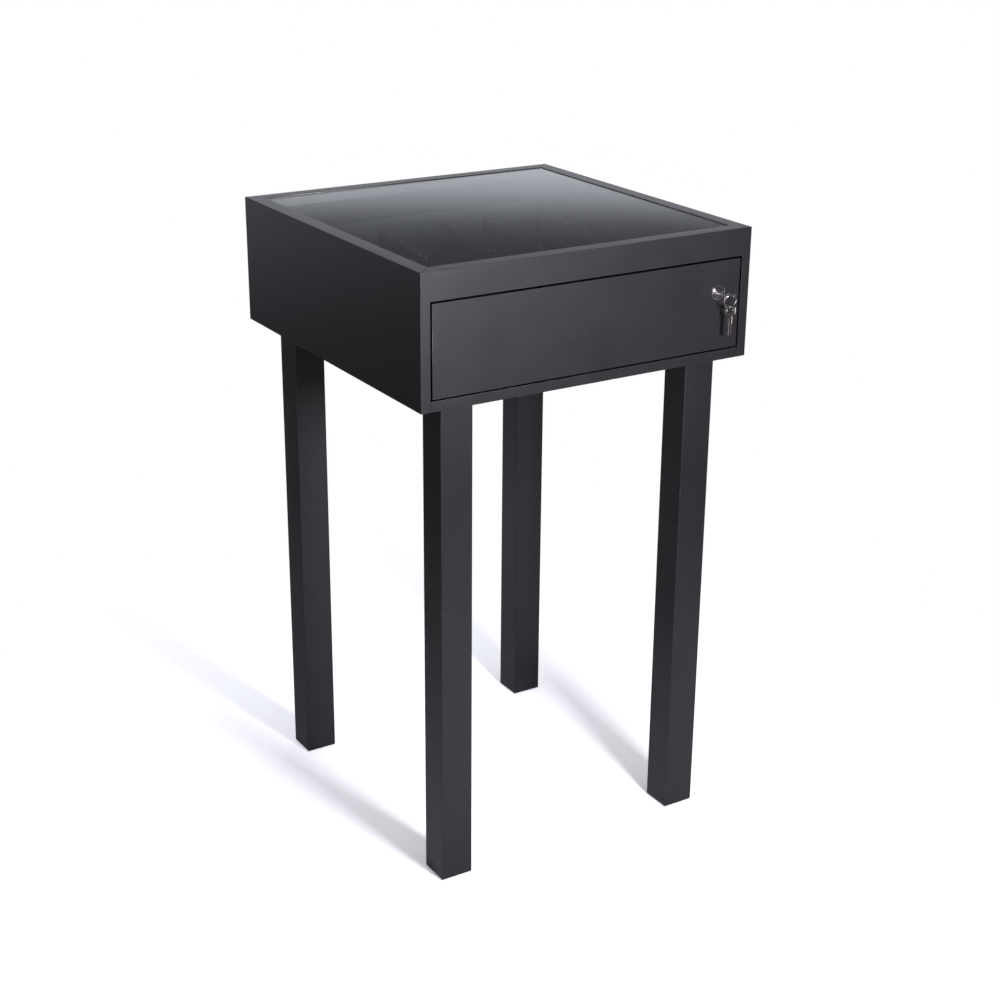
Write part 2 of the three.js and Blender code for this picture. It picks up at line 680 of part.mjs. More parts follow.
/** Key in the lock, the ring on the right side of its bow, and the spare key on the ring. */
function addKeys() {
  const holeY = FRONT - KEY_REACH + KEY_BOW / 2;
  const keys = addGroup(table, lockX, holeY, lockZ);
  addPiece(keys, "key", "nickel", keyGeometry());

  // The ring clears the bow's side, lying flat or standing on edge, as the key turns in it.
  const bowSide = (KEY_BOW - KEY_BOW_HOLE) / 2;
  const ringInner = RING_OUTER_RADIUS - RING_WIRE;
  const dropFlat = Math.sqrt(ringInner ** 2 - (bowSide / 2) ** 2) - KEY_THICKNESS / 2;
  const dropOnEdge = Math.sqrt(ringInner ** 2 - (KEY_THICKNESS / 2) ** 2) - bowSide / 2;
  const ringDrop = Math.min(dropFlat, dropOnEdge) - HANG_GAP;
  const ringX = KEY_BOW / 2 - bowSide / 2;
  const wireRadius = RING_OUTER_RADIUS - RING_WIRE / 2;
  const ringGeometry = new THREE.TorusGeometry(wireRadius, RING_WIRE / 2, RING_SIDES, RING_STEPS);
  addPiece(keys, "key_ring", "chrome", ringGeometry.rotateX(Math.PI / 2), [ringX, 0, -ringDrop]);

  const wireTop = -ringDrop - ringInner;
  const spare = addGroup(keys, ringX, 0, wireTop + HANG_GAP - KEY_BOW_HOLE / 2);
  spare.rotation.z = THREE.MathUtils.degToRad(-SPARE_KEY_TURN);
  const spareKey = addPiece(spare, "spare_key", "nickel", keyGeometry());
  spareKey.rotation.x = -Math.PI / 2;
}

/** Outline of a rack's cheek in Y and Z, from its front foot, with a notched top that slopes. */
function cheekOutline(backHeight) {
  const slope = THREE.MathUtils.degToRad(RACK_SLOPE);
  const topLength = RACK_DEPTH / Math.cos(slope);
  const margin = (topLength - (NOTCH_COUNT - 1) * NOTCH_PITCH) / 2;
  const opening = Math.acos(1 - NOTCH_DEPTH / NOTCH_RADIUS);
  const points = [[0, 0], [RACK_DEPTH, 0], [RACK_DEPTH, backHeight]];
  const addTopPoint = (fromBack, above) => {
    const y = RACK_DEPTH - fromBack * Math.cos(slope) - above * Math.sin(slope);
    points.push([y, backHeight - fromBack * Math.sin(slope) + above * Math.cos(slope)]);
  };
  for (let notch = 0; notch < NOTCH_COUNT; notch += 1) {
    const middle = margin + notch * NOTCH_PITCH;
    for (let step = 0; step <= NOTCH_STEPS; step += 1) {
      const angle = opening * (2 * step / NOTCH_STEPS - 1);
      const above = NOTCH_RADIUS * (1 - Math.cos(angle)) - NOTCH_DEPTH;
      addTopPoint(middle + NOTCH_RADIUS * Math.sin(angle), above);
    }
  }
  addTopPoint(topLength, 0);
  return outline(points);
}

/** Two display racks that stand on the drawer's liner. */
function addRacks() {
  const floor = linerTop + SEAT;
  const back = boxBack - DRAWER_BOARD - RACK_BACK_GAP;
  const front = back - RACK_DEPTH;
  const cheekShape = cheekOutline(RAIL_BOTTOM - RACK_DROP - floor);
  const rightEnd = boxInsideRight - RACK_SIDE_GAP;
  const racks = [
    { name: "right_rack", x: rightEnd - RACK_LENGTH },
    { name: "left_rack", x: rightEnd - 2 * RACK_LENGTH - RACK_SPACING },
  ];
  for (const rack of racks) {
    const place = addGroup(table, rack.x, front, floor);
    addPiece(place, `${rack.name}_cheek_left`, "drawerBlack", extrudeAlongX(cheekShape, CHEEK));
    addPiece(place, `${rack.name}_cheek_right`, "drawerBlack", extrudeAlongX(cheekShape, CHEEK),
      [RACK_LENGTH - CHEEK, 0, 0]);
    const spacerX = [CHEEK + SEAT, RACK_LENGTH - CHEEK - SEAT];
    const spacerZ = [SPACER_LIFT, SPACER_LIFT + SPACER_HEIGHT];
    const frontY = [SPACER_FROM_END, SPACER_FROM_END + SPACER_THICKNESS];
    const backY = frontY.map((y) => RACK_DEPTH - y).reverse();
    addBoard(place, `${rack.name}_spacer_front`, "drawerBlack", spacerX, frontY, spacerZ);
    addBoard(place, `${rack.name}_spacer_back`, "drawerBlack", spacerX, backY, spacerZ);
  }
}

addCaseBoards();
addTopFrame();
addGlazing();
addLegs();
addDrawer();
addSlides();
addLock();
addKeys();
addRacks();

export default table;
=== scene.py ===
"""Looks of the display table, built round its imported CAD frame.

Every length is in metres in the table's own frame: +X right, +Y back, +Z up, floor at z = 0.
"""

import logging
import math
from contextlib import contextmanager
from dataclasses import dataclass, field
from enum import Enum
from typing import Callable, ClassVar, Iterator, Sequence

import bmesh
import bpy
from mathutils import Matrix, Vector


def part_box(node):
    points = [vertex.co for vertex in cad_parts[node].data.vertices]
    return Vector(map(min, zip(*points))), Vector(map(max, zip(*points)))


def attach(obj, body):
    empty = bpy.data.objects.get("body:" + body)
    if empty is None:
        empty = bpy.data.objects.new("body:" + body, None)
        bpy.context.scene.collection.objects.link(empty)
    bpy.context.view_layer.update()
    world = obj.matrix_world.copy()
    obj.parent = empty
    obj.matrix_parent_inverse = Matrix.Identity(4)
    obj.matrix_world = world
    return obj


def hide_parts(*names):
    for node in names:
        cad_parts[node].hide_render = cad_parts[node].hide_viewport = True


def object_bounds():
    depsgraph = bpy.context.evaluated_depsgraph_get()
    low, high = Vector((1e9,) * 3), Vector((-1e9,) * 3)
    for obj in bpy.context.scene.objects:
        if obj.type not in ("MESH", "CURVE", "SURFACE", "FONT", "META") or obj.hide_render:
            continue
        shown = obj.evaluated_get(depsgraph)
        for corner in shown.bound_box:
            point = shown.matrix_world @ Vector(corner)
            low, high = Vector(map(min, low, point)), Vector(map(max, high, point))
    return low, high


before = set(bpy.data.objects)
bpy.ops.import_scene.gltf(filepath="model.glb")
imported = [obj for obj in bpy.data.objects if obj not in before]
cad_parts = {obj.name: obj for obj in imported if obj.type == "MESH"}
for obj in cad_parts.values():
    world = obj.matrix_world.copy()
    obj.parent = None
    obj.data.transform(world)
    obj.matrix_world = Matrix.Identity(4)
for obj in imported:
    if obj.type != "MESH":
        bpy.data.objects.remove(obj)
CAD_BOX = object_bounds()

LOG = logging.getLogger("display_table")
CASE_MIDDLE = (CAD_BOX[0] + CAD_BOX[1]) / 2
MM = 0.001
# Length of a cutter that goes right through a board, and the least length of a board's long edge.
THROUGH = 100 * MM
LONG = 100 * MM
# Heights closer than this are the same, and doubles closer than the next are one point.
SAME = 1e-6
DOUBLE = 1e-7
# Cosine over which a face looks a way, angle over which an edge is sharp, and breadth of a rounding's faces.
FACING = 0.7
SHARP = math.radians(35)
ROUNDING = 1.2
# Range in which most of a noise lies.
NOISE = (0.3, 0.7)
# Face attributes: roundings that wear, and painted shade on the lacquer.
WORN = "worn"
PAINTED_SHADE_MARK = "painted_shade"

Object = bpy.types.Object
Material = bpy.types.Material
Socket = bpy.types.NodeSocket
Span = tuple[float, float]
Triple = tuple[float, float, float]
Colour = Triple
Profile = Sequence[Span]


class Body(Enum):
    """CAD bodies that the pieces ride on."""

    CASE = "case"
    MIDDLES = "slide_middles"
    DRAWER = "drawer"
    CORE = "lock_core"
    KEY = "lock_key"
    RING = "ring"
    SPARE = "hanging_key"


class Slot(Enum):
    """The record's material slots."""

    SATIN = "satin_black"
    BOX = "drawer_black"
    LINER = "liner"
    GLASS = "glass"
    TAPE = "tape"
    GLIDE = "glide"
    ZINC = "zinc"
    CHROME = "chrome"
    NICKEL = "nickel"


class Shade(Enum):
    """How much painted shade a lacquered face gets: none, inside the case, or in the drawer's gap."""

    OPEN = 0.0
    INSIDE = 1.0
    GAP = 2.0


class Axis(Enum):
    """Directions of pegs and turned pieces, with the turn from +Z in Euler angles."""

    X = (0.0, math.pi / 2, 0.0)
    Y = (-math.pi / 2, 0.0, 0.0)
    Z = (0.0, 0.0, 0.0)

    @property
    def along(self) -> Vector:
        """The direction as a unit vector."""
        return Vector([float(self is axis) for axis in Axis])

    @property
    def across(self) -> Vector:
        """A direction square to it in which a profile is drawn."""
        return Axis.Z.along if self is Axis.X else Axis.X.along


EdgeTest = Callable[[Vector, Vector], bool]
FaceTest = Callable[[Vector, Vector], Shade]


def long_edge(length: float = LONG) -> EdgeTest:
    """Makes a test for edges over this length."""
    return lambda a, b: (a - b).length > length


def shaded(inside: bool, shade: Shade = Shade.INSIDE) -> Shade:
    """Gives a face its painted shade if it lies inside."""
    return shade if inside else Shade.OPEN


def in_mm(profile: Profile) -> list[Span]:
    """Gives a profile that is drawn in millimetres in metres."""
    return [(radius * MM, height * MM) for radius, height in profile]


def centre_of(low: Vector, high: Vector, **fixed: float) -> Vector:
    """Middle of a box, moved to the coordinates that are given.

    Args:
        low: Lowest corner.
        high: Highest corner.
        fixed: Coordinates x, y or z that replace the middle's own.

    Returns:
        The point.
    """
    middle = (low + high) / 2
    for axis, value in fixed.items():
        setattr(middle, axis, value)
    return middle


class Bench:
    """Hand tools that shape one piece at a time."""

    @staticmethod
    def clear() -> None:
        """Leaves edit mode and deselects everything."""
        if bpy.context.mode != "OBJECT":
            bpy.ops.object.mode_set(mode="OBJECT")
        bpy.ops.object.select_all(action="DESELECT")

    @staticmethod
    def take(obj: Object) -> None:
        """Makes one piece the only selected one, and the active one.

        Args:
            obj: The piece.
        """
        Bench.clear()
        obj.select_set(True)
        bpy.context.view_layer.objects.active = obj

    @staticmethod
    @contextmanager
    def editing(obj: Object) -> Iterator[None]:
        """Opens a piece in edit mode with nothing selected.

        Args:
            obj: The piece to open.

        Returns:
            A context in which the piece is open.
        """
        Bench.take(obj)
        bpy.ops.object.mode_set(mode="EDIT")
        bpy.ops.mesh.select_mode(type="VERT")
        bpy.ops.mesh.select_all(action="DESELECT")
        yield
        bpy.ops.object.mode_set(mode="OBJECT")

    @staticmethod
    def pick_all() -> None:
        """Selects all of the open piece."""
        bpy.ops.mesh.select_all(action="SELECT")

    @staticmethod
    def fill() -> None:
        """Fills the open piece's outline with one face, and leaves it selected."""
        Bench.pick_all()
        bpy.ops.mesh.edge_face_add()
        Bench.pick_all()

    @staticmethod
    def close() -> None:
        """Merges doubles and turns the faces of the open piece outwards."""
        Bench.pick_all()
        bpy.ops.mesh.remove_doubles(threshold=DOUBLE)
        bpy.ops.mesh.normals_make_consistent(inside=False)

    @staticmethod
    def settle(name: str) -> Object:
        """Names the piece just added and moves its place into its mesh.

        Args:
            name: The piece's name.

        Returns:
            The piece, at the origin.
        """
        obj = bpy.context.object
        obj.name = name
        obj.data.name = name
        bpy.ops.object.transform_apply(location=True, rotation=True, scale=True)
        return obj

    @staticmethod
    def block(name: str, low: Vector, high: Vector) -> Object:
        """Adds a cube that fills a box.

        Args:
            name: The piece's name.
            low: Lowest corner.
            high: Highest corner.

        Returns:
            The block.
        """
        Bench.clear()
        bpy.ops.mesh.primitive_cube_add(size=1.0, location=(low + high) / 2, scale=high - low)
        return Bench.settle(name)

    @staticmethod
    def peg(name: str, centre: Vector, radius: float, length: float, axis: Axis, sides: int = 24) -> Object:
        """Adds a cylinder.

        Args:
            name: The piece's name.
            centre: Its middle.
            radius: Its radius.
            length: Its length along the axis.
            axis: Its direction.
            sides: Flats round it.

        Returns:
            The cylinder.
        """
        Bench.clear()
        bpy.ops.mesh.primitive_cylinder_add(
            vertices=sides, radius=radius, depth=length, location=centre, rotation=axis.value
        )
        return Bench.settle(name)

    @staticmethod
    def draw(name: str, points: Sequence[Vector]) -> Object:
        """Draws a line of edges from point to point by extruding a vertex.

        Args:
            name: The piece's name.
            points: The line's points, in order.

        Returns:
            A piece of edges alone.
        """
        Bench.clear()
        bpy.ops.mesh.primitive_plane_add(size=MM, location=points[0])
        obj = Bench.settle(name)
        with Bench.editing(obj):
            Bench.pick_all()
            bpy.ops.mesh.merge(type="CENTER")
            for start, end in zip(points, points[1:]):
                bpy.ops.mesh.extrude_vertices_move(TRANSFORM_OT_translate={"value": end - start})
        return obj

    @staticmethod
    def plate(name: str, points: Sequence[Vector], depth: Vector) -> Object:
        """Fills a closed outline and extrudes it.

        Args:
            name: The piece's name.
            points: The outline's corners, in order.
            depth: How far and which way it is extruded.

        Returns:
            The closed plate.
        """
        obj = Bench.draw(name, points)
        with Bench.editing(obj):
            Bench.fill()
            bpy.ops.mesh.extrude_region_move(TRANSFORM_OT_translate={"value": depth})
            Bench.close()
        return obj

    @staticmethod
    def turn(name: str, profile: Profile, origin: Vector, axis: Axis, steps: int = 48) -> Object:
        """Spins a profile round an axis, as on a lathe.

        Args:
            name: The piece's name.
            profile: Radius and height pairs; one that doesn't start and end on the axis is closed.
            origin: The point of the axis at height 0.
            axis: The axis.
            steps: Steps of a full turn.

        Returns:
            The turned piece.
        """
        points = [origin + axis.across * radius + axis.along * height for radius, height in profile]
        if profile[0][0] > 0 or profile[-1][0] > 0:
            points.append(points[0])
        obj = Bench.draw(name, points)
        with Bench.editing(obj):
            Bench.pick_all()
            bpy.ops.mesh.spin(steps=steps, angle=2 * math.pi, center=origin, axis=axis.along)
            Bench.close()
        return obj

    @staticmethod
    def apply(obj: Object, kind: str, **settings: object) -> None:
        """Adds a modifier to a piece and applies it.

        Args:
            obj: The piece.
            kind: The modifier's type.
            settings: The modifier's settings.
        """
        Bench.take(obj)
        bpy.ops.object.modifier_add(type=kind)
        modifier = obj.modifiers[-1]
        for key, value in settings.items():
            setattr(modifier, key, value)
        bpy.ops.object.modifier_apply(modifier=modifier.name)

    @staticmethod
    def carve(obj: Object, *tools: Object) -> None:
        """Cuts tools out of a piece and throws the tools away.

        Args:
            obj: The piece.
            tools: The cutters.
        """
        for tool in tools:
            Bench.apply(obj, "BOOLEAN", object=tool, operation="DIFFERENCE", solver="EXACT")
            bpy.data.objects.remove(tool)

    @staticmethod
    def cross(screw: Object, top: Vector, axis: Axis, reach: float, half: float, depth: float) -> None:
        """Cuts a cross slot into a screw's head.

        Args:
            screw: The screw.
            top: Middle of the head's top.
            axis: The screw's direction, along X or Y.
            reach: Half the slot's length.
            half: Half the slot's width.
            depth: How deep it is.
        """
        arm = ((-half, -reach), (half, -reach), (half, -half))
        points = []
        for _ in range(4):
            points += arm
            arm = tuple((-b, a) for a, b in arm)
        level = Axis.Y.along if axis is Axis.X else Axis.X.along
        corners = [top + level * a + Axis.Z.along * b - axis.along * depth for a, b in points]
        Bench.carve(screw, Bench.plate("slot", corners, axis.along * 2 * depth))

    @staticmethod
    def weld(obj: Object, *others: Object) -> None:
        """Joins pieces into one mesh.

        Args:
            obj: The piece that stays.
            others: Pieces that become part of it.
        """
        Bench.take(obj)
        for other in others:
            other.select_set(True)
        bpy.ops.object.join()

    @staticmethod
    def ease(obj: Object, width: float, wanted: EdgeTest | None = None, segments: int = 3) -> None:
        """Rounds sharp edges over and marks the new faces as worn edges.

        Args:
            obj: The piece.
            width: Width of the rounding.
            wanted: Says of an edge's two ends whether it is rounded; all sharp edges without it.
            segments: Faces across the rounding.
        """
        with Bench.editing(obj):
            bpy.ops.mesh.select_mode(type="EDGE")
            mesh = bmesh.from_edit_mesh(obj.data)
            for edge in mesh.edges:
                sharp = edge.calc_face_angle(0.0) > SHARP
                edge.select_set(sharp and (wanted is None or wanted(edge.verts[0].co, edge.verts[1].co)))
            bmesh.update_edit_mesh(obj.data)
            bpy.ops.mesh.bevel(
                offset=width, segments=segments, profile=0.5, affect="EDGES", clamp_overlap=True
            )
            mesh = bmesh.from_edit_mesh(obj.data)
            layer = mesh.faces.layers.float.get(WORN) or mesh.faces.layers.float.new(WORN)
            for face in mesh.faces:
                longest = max(edge.calc_length() for edge in face.edges)
                if face.calc_area() < ROUNDING * width * longest:
                    face[layer] = 1.0
            bmesh.update_edit_mesh(obj.data)

    @staticmethod
    def mark(obj: Object, wanted: FaceTest) -> None:
        """Marks faces with their painted shade.

        Args:
            obj: The piece.
            wanted: Gives a face's painted shade from its middle and normal.
        """
        with Bench.editing(obj):
            mesh = bmesh.from_edit_mesh(obj.data)
            layer = mesh.faces.layers.float.new(PAINTED_SHADE_MARK)
            for face in mesh.faces:
                face[layer] = wanted(face.calc_center_median(), face.normal).value
            bmesh.update_edit_mesh(obj.data)

    @staticmethod
    def polish(obj: Object, angle: float = 50.0) -> None:
        """Shades a piece smooth up to an angle, with flat faces kept flat.

        Args:
            obj: The piece.
            angle: Steepest smooth edge in degrees.
        """
        Bench.take(obj)
        bpy.ops.object.shade_smooth_by_angle(angle=math.radians(angle))
        Bench.apply(obj, "WEIGHTED_NORMAL", keep_sharp=True, weight=50)

    @staticmethod
    def copy(obj: Object, name: str, move: Matrix) -> Object:
        """Copies a piece with its own mesh.

        Args:
            obj: The piece to copy.
            name: The copy's name.
            move: Where the copy goes from the first piece; a mirror is allowed.

        Returns:
            The copy.
        """
        Bench.take(obj)
        bpy.ops.object.duplicate(linked=False)
        twin = bpy.context.object
        twin.name = name
        twin.data.name = name
        twin.data.transform(move)
        if move.determinant() < 0:
            with Bench.editing(twin):
                Bench.close()
        return twin


class Graph:
    """Adds and links the nodes of one shader tree."""

    def __init__(self, tree: bpy.types.NodeTree) -> None:
        """Empties the tree and keeps it."""
        self.tree = tree
        tree.nodes.clear()

    def feed(self, socket: Socket, value: object) -> None:
        """Links a socket to another, or sets its own value; a colour gets its alpha.

        Args:
            socket: The input.
            value: A socket, number, vector or colour.
        """
        if isinstance(value, bpy.types.NodeSocket):
            self.tree.links.new(value, socket)
        elif socket.type == "RGBA":
            socket.default_value = (*value, 1.0)
        else:
            socket.default_value = value

    def node(self, kind: str, **settings: object) -> bpy.types.Node:
        """Adds a node.

        Args:
            kind: The node's type without its prefix.
            settings: Its properties, and its inputs by name with spaces as underscores.

        Returns:
            The node.
        """
        made = self.tree.nodes.new("ShaderNode" + kind)
        for key, value in settings.items():
            if hasattr(made, key):
                setattr(made, key, value)
            else:
                self.feed(made.inputs[key.replace("_", " ")], value)
        return made

    def row(self, kind: str, *values: object, **settings: object) -> Socket:
        """Adds a node whose inputs are fed in their order.

        Args:
            kind: The node's type without its prefix.
            values: What its first inputs get.
            settings: Its properties and other inputs.

        Returns:
            Its first output.
        """
        made = self.node(kind, **settings)
        for socket, value in zip(made.inputs, values):
            self.feed(socket, value)
        return made.outputs[0]

    def math(self, operation: str, *values: object) -> Socket:
        """One sum of two or three values."""
        return self.row("Math", *values, operation=operation)

    def stir(self, factor: Socket, first: Socket, second: Socket) -> Socket:
        """Mixes two shaders: 0 gives the first, 1 the second."""
        return self.row("MixShader", factor, first, second)

    def surface(self, shader: Socket, output: str = "OutputMaterial") -> None:
        """Shows a shader as the surface of a material, or of the world."""
        self.feed(self.node(output).inputs["Surface"], shader)

    def place(self, stretch: Triple | None = None) -> Socket:
        """Object coordinates, stretched.

        Args:
            stretch: Scale along each axis.

        Returns:
            The vector socket.
        """
        coordinates = self.node("TexCoord").outputs["Object"]
        if stretch is None:
            return coordinates
        return self.row("Mapping", Vector=coordinates, Scale=stretch)

    def reach(self, shift: Triple) -> Socket:
        """Distance along the floor from a point.

        Args:
            shift: The point, turned round.

        Returns:
            The distance socket.
        """
        moved = self.row("Mapping", Vector=self.place(), Location=shift, Scale=(1.0, 1.0, 0.0))
        length = self.node("VectorMath", operation="LENGTH")
        self.feed(length.inputs[0], moved)
        return length.outputs["Value"]

    def rays(self) -> tuple[Socket, Socket]:
        """Tells the rays apart that ask for the surface.

        Returns:
            Sockets that are 1 for the camera's own rays, and for rays off shine or through glass.
        """
        path = self.node("LightPath").outputs
        mirrored = self.math("MAXIMUM", path["Is Glossy Ray"], path["Is Transmission Ray"])
        return path["Is Camera Ray"], mirrored

    def noise(
        self, scale: float, detail: float = 2.0, stretch: Triple | None = None, **more: float
    ) -> Socket:
        """Noise on object coordinates.

        Args:
            scale: Cells for each metre.
            detail: Octaves.
            stretch: Scale along each axis before that.
            more: Other inputs of the noise.

        Returns:
            The factor socket.
        """
        made = self.node("TexNoise", Vector=self.place(stretch), Scale=scale, Detail=detail, **more)
        return made.outputs["Fac"]

    def span(self, value: Socket, low: float, high: float, bottom: float = 0.0, top: float = 1.0) -> Socket:
        """Maps a range of values to another, clamped.

        Args:
            value: What is mapped.
            low: The value that gives bottom.
            high: The value that gives top.
            bottom: First result.
            top: Last result.

        Returns:
            The result socket.
        """
        return self.row("MapRange", Value=value, From_Min=low, From_Max=high, To_Min=bottom, To_Max=top)

    def blend(self, factor: Socket, first: object, second: object) -> Socket:
        """Mixes two colours.

        Args:
            factor: 0 for the first, 1 for the second.
            first: A colour or socket.
            second: A colour or socket.

        Returns:
            The colour socket.
        """
        made = self.node("Mix", data_type="RGBA")
        for index, value in ((0, factor), (6, first), (7, second)):
            self.feed(made.inputs[index], value)
        return made.outputs[2]

    def bump(self, height: Socket, distance: float, strength: float, **under: Socket) -> Socket:
        """Bump from a height.

        Args:
            height: The height socket.
            distance: Height of a full step, in metres.
            strength: Share of the bump that shows.
            under: A bump below this one, as Normal.

        Returns:
            The normal socket.
        """
        return self.row("Bump", Height=height, Distance=distance, Strength=strength, **under)


def new_graph(name: str) -> tuple[Material, Graph]:
    """Makes an empty node material.

    Args:
        name: The material's name.

    Returns:
        The material and its graph.
    """
    material = bpy.data.materials.new(name)
    material.use_nodes = True
    return material, Graph(material.node_tree)


@dataclass(frozen=True)
class SatinLacquer:
    """Satin black lacquer on board: faint cloud, fine pores, handling marks and chipped edges, with painted
    shade on faces inside the case and in the drawer's gap.
    """

    name: str
    dark: Colour = (0.0115, 0.0105, 0.0125)
    light: Colour = (0.016, 0.0148, 0.0172)
    chip: Colour = (0.1, 0.094, 0.09)
    roughness: Span = (0.405, 0.45)
    specular: float = 0.65
    coat: float = 0.7
    coat_roughness: float = 0.2
    cloud_scale: float = 7.0
    cloud_span: Span = (0.35, 0.65)
    hand_scale: float = 16.0
    chip_scale: float = 190.0
    chip_span: Span = (0.66, 0.69)
    peel_scale: float = 260.0
    peel_depth: float = 0.12 * MM
    pore_scale: float = 1400.0
    pore_depth: float = 0.06 * MM
    pore_shine: float = 0.03
    # Painted shade: faces marked inside the case get the dark colour and low roughness below, and faces in
    # the drawer's gap turn a black that reflects nothing.
    has_painted_shade: bool = True
    painted_shade: Colour = (0.003, 0.003, 0.0032)
    painted_shade_roughness: float = 0.12
    gap_shade_roughness: float = 0.95

    def make(self) -> Material:
        """Builds the material.

        Returns:
            The lacquer.
        """
        material, graph = new_graph(self.name)
        cloud = graph.noise(self.cloud_scale, detail=4.0, Roughness=0.6)
        pores = graph.noise(self.pore_scale)
        peel = graph.noise(self.peel_scale, detail=1.0)
        hands = graph.noise(self.hand_scale, detail=5.0, Distortion=0.5)
        edge = graph.node("Attribute", attribute_name=WORN).outputs["Fac"]
        chips = graph.span(graph.noise(self.chip_scale, detail=3.0), *self.chip_span)
        colour = graph.blend(graph.span(cloud, *self.cloud_span), self.dark, self.light)
        colour = graph.blend(graph.math("MULTIPLY", edge, chips), colour, self.chip)
        rough = graph.span(hands, *NOISE, *self.roughness)
        rough = graph.math("ADD", rough, graph.span(pores, *NOISE, -self.pore_shine, self.pore_shine))
        coat, metal = self.coat, 0.0
        if self.has_painted_shade:
            colour, rough, coat, metal = self.paint_shade(graph, colour, rough)
        surface = graph.bump(peel, self.peel_depth, strength=0.25)
        graph.surface(
            graph.row(
                "BsdfPrincipled",
                Base_Color=colour,
                Roughness=rough,
                Normal=graph.bump(pores, self.pore_depth, strength=0.5, Normal=surface),
                Specular_IOR_Level=self.specular,
                Metallic=metal,
                Coat_Weight=coat,
                Coat_Roughness=self.coat_roughness,
            )
        )
        return material

    def paint_shade(self, graph: Graph, colour: Socket, rough: Socket) -> tuple[Socket, Socket, Socket, Socket]:
        """Paints shade: a darker, smoother colour on the faces inside the case, and a black that reflects
        nothing on those in the drawer's gap.

        Args:
            graph: The material's graph.
            colour: The lacquer's colour.
            rough: The lacquer's roughness.

        Returns:
            Sockets of the colour, roughness, coat and metal.
        """
        # Painted shade: inside faces darker and smoother, gap faces black metal with no coat.
        mark = graph.node("Attribute", attribute_name=PAINTED_SHADE_MARK).outputs["Fac"]
        painted_shade = graph.span(mark, Shade.OPEN.value, Shade.INSIDE.value)
        dull = graph.span(mark, Shade.INSIDE.value, Shade.GAP.value)
        colour = graph.blend(painted_shade, colour, self.painted_shade)
        smoother = graph.math("SUBTRACT", self.painted_shade_roughness, rough)
        rough = graph.math("MULTIPLY_ADD", painted_shade, smoother, rough)
        rough = graph.math("MAXIMUM", rough, graph.math("MULTIPLY", dull, self.gap_shade_roughness))
        return colour, rough, graph.span(dull, 0.0, 1.0, self.coat, 0.0), dull


@dataclass(frozen=True)
class LinerFelt:
    """Short black felt that lines the drawer."""

    name: str
    dark: Colour = (0.008, 0.008, 0.009)
    light: Colour = (0.022, 0.022, 0.024)
    fibre_scale: float = 900.0
    fibre_depth: float = 0.6 * MM
    nap_scale: float = 30.0
    nap_tone: float = 0.12
    roughness: Span = (0.85, 1.0)
    specular: float = 0.2
    sheen: float = 0.25
    sheen_roughness: float = 0.5

    def make(self) -> Material:
        """Builds the material.

        Returns:
            The felt.
        """
        material, graph = new_graph(self.name)
        fibres = graph.noise(self.fibre_scale, detail=4.0, Roughness=0.75, Distortion=2.0)
        nap = graph.span(graph.noise(self.nap_scale, detail=3.0), *NOISE, -self.nap_tone, self.nap_tone)
        tone = graph.span(graph.math("ADD", fibres, nap), *NOISE)
        graph.surface(
            graph.row(
                "BsdfPrincipled",
                Base_Color=graph.blend(tone, self.dark, self.light),
                Roughness=graph.span(fibres, *NOISE, *self.roughness),
                Normal=graph.bump(fibres, self.fibre_depth, strength=0.8),
                Sheen_Weight=self.sheen,
                Sheen_Roughness=self.sheen_roughness,
                Specular_IOR_Level=self.specular,
            )
        )
        return material


@dataclass(frozen=True)
class FloatGlass:
    """Clear float glass that lets the lamps light what lies under it."""

    name: str
    tint: Colour = (0.93, 0.965, 0.95)
    ior: float = 1.5
    wipe_scale: float = 9.0
    wipe_stretch: Triple = (1.0, 2.6, 1.0)
    wipe_span: Span = (0.55, 0.8)
    wipe_roughness: float = 0.03

    def make(self) -> Material:
        """Builds the material.

        Returns:
            The glass.
        """
        material, graph = new_graph(self.name)
        wipes = graph.noise(self.wipe_scale, detail=5.0, stretch=self.wipe_stretch, Distortion=0.8)
        glass = graph.row(
            "BsdfPrincipled",
            Base_Color=self.tint,
            Roughness=graph.span(wipes, *self.wipe_span, 0.0, self.wipe_roughness),
            IOR=self.ior,
            Transmission_Weight=1.0,
        )
        lamp_ray = graph.node("LightPath").outputs["Is Shadow Ray"]
        graph.surface(graph.stir(lamp_ray, glass, graph.row("BsdfTransparent", Color=self.tint)))
        return material


@dataclass(frozen=True)
class BrightMetal:
    """Plated or polished metal with fine scratches and dull spots."""

    name: str
    colour: Colour
    dull: Colour
    roughness: Span
    grain: Triple | None = None
    grain_scale: float = 1500.0
    grain_shine: Span = (-0.03, 0.04)
    spot_scale: float = 140.0
    spot_span: Span = (0.4, 0.75)
    rough_span: Span = (0.3, 0.75)
    scratch: float = 0.01 * MM

    def make(self) -> Material:
        """Builds the material.

        Returns:
            The metal.
        """
        material, graph = new_graph(self.name)
        lines = graph.noise(self.grain_scale, detail=3.0, stretch=self.grain)
        spots = graph.noise(self.spot_scale, detail=4.0, Roughness=0.6)
        rough = graph.span(spots, *self.rough_span, *self.roughness)
        graph.surface(
            graph.row(
                "BsdfPrincipled",
                Base_Color=graph.blend(graph.span(spots, *self.spot_span), self.colour, self.dull),
                Metallic=1.0,
                Roughness=graph.math("ADD", rough, graph.span(lines, *NOISE, *self.grain_shine)),
                Normal=graph.bump(lines, self.scratch, strength=0.5),
            )
        )
        return material


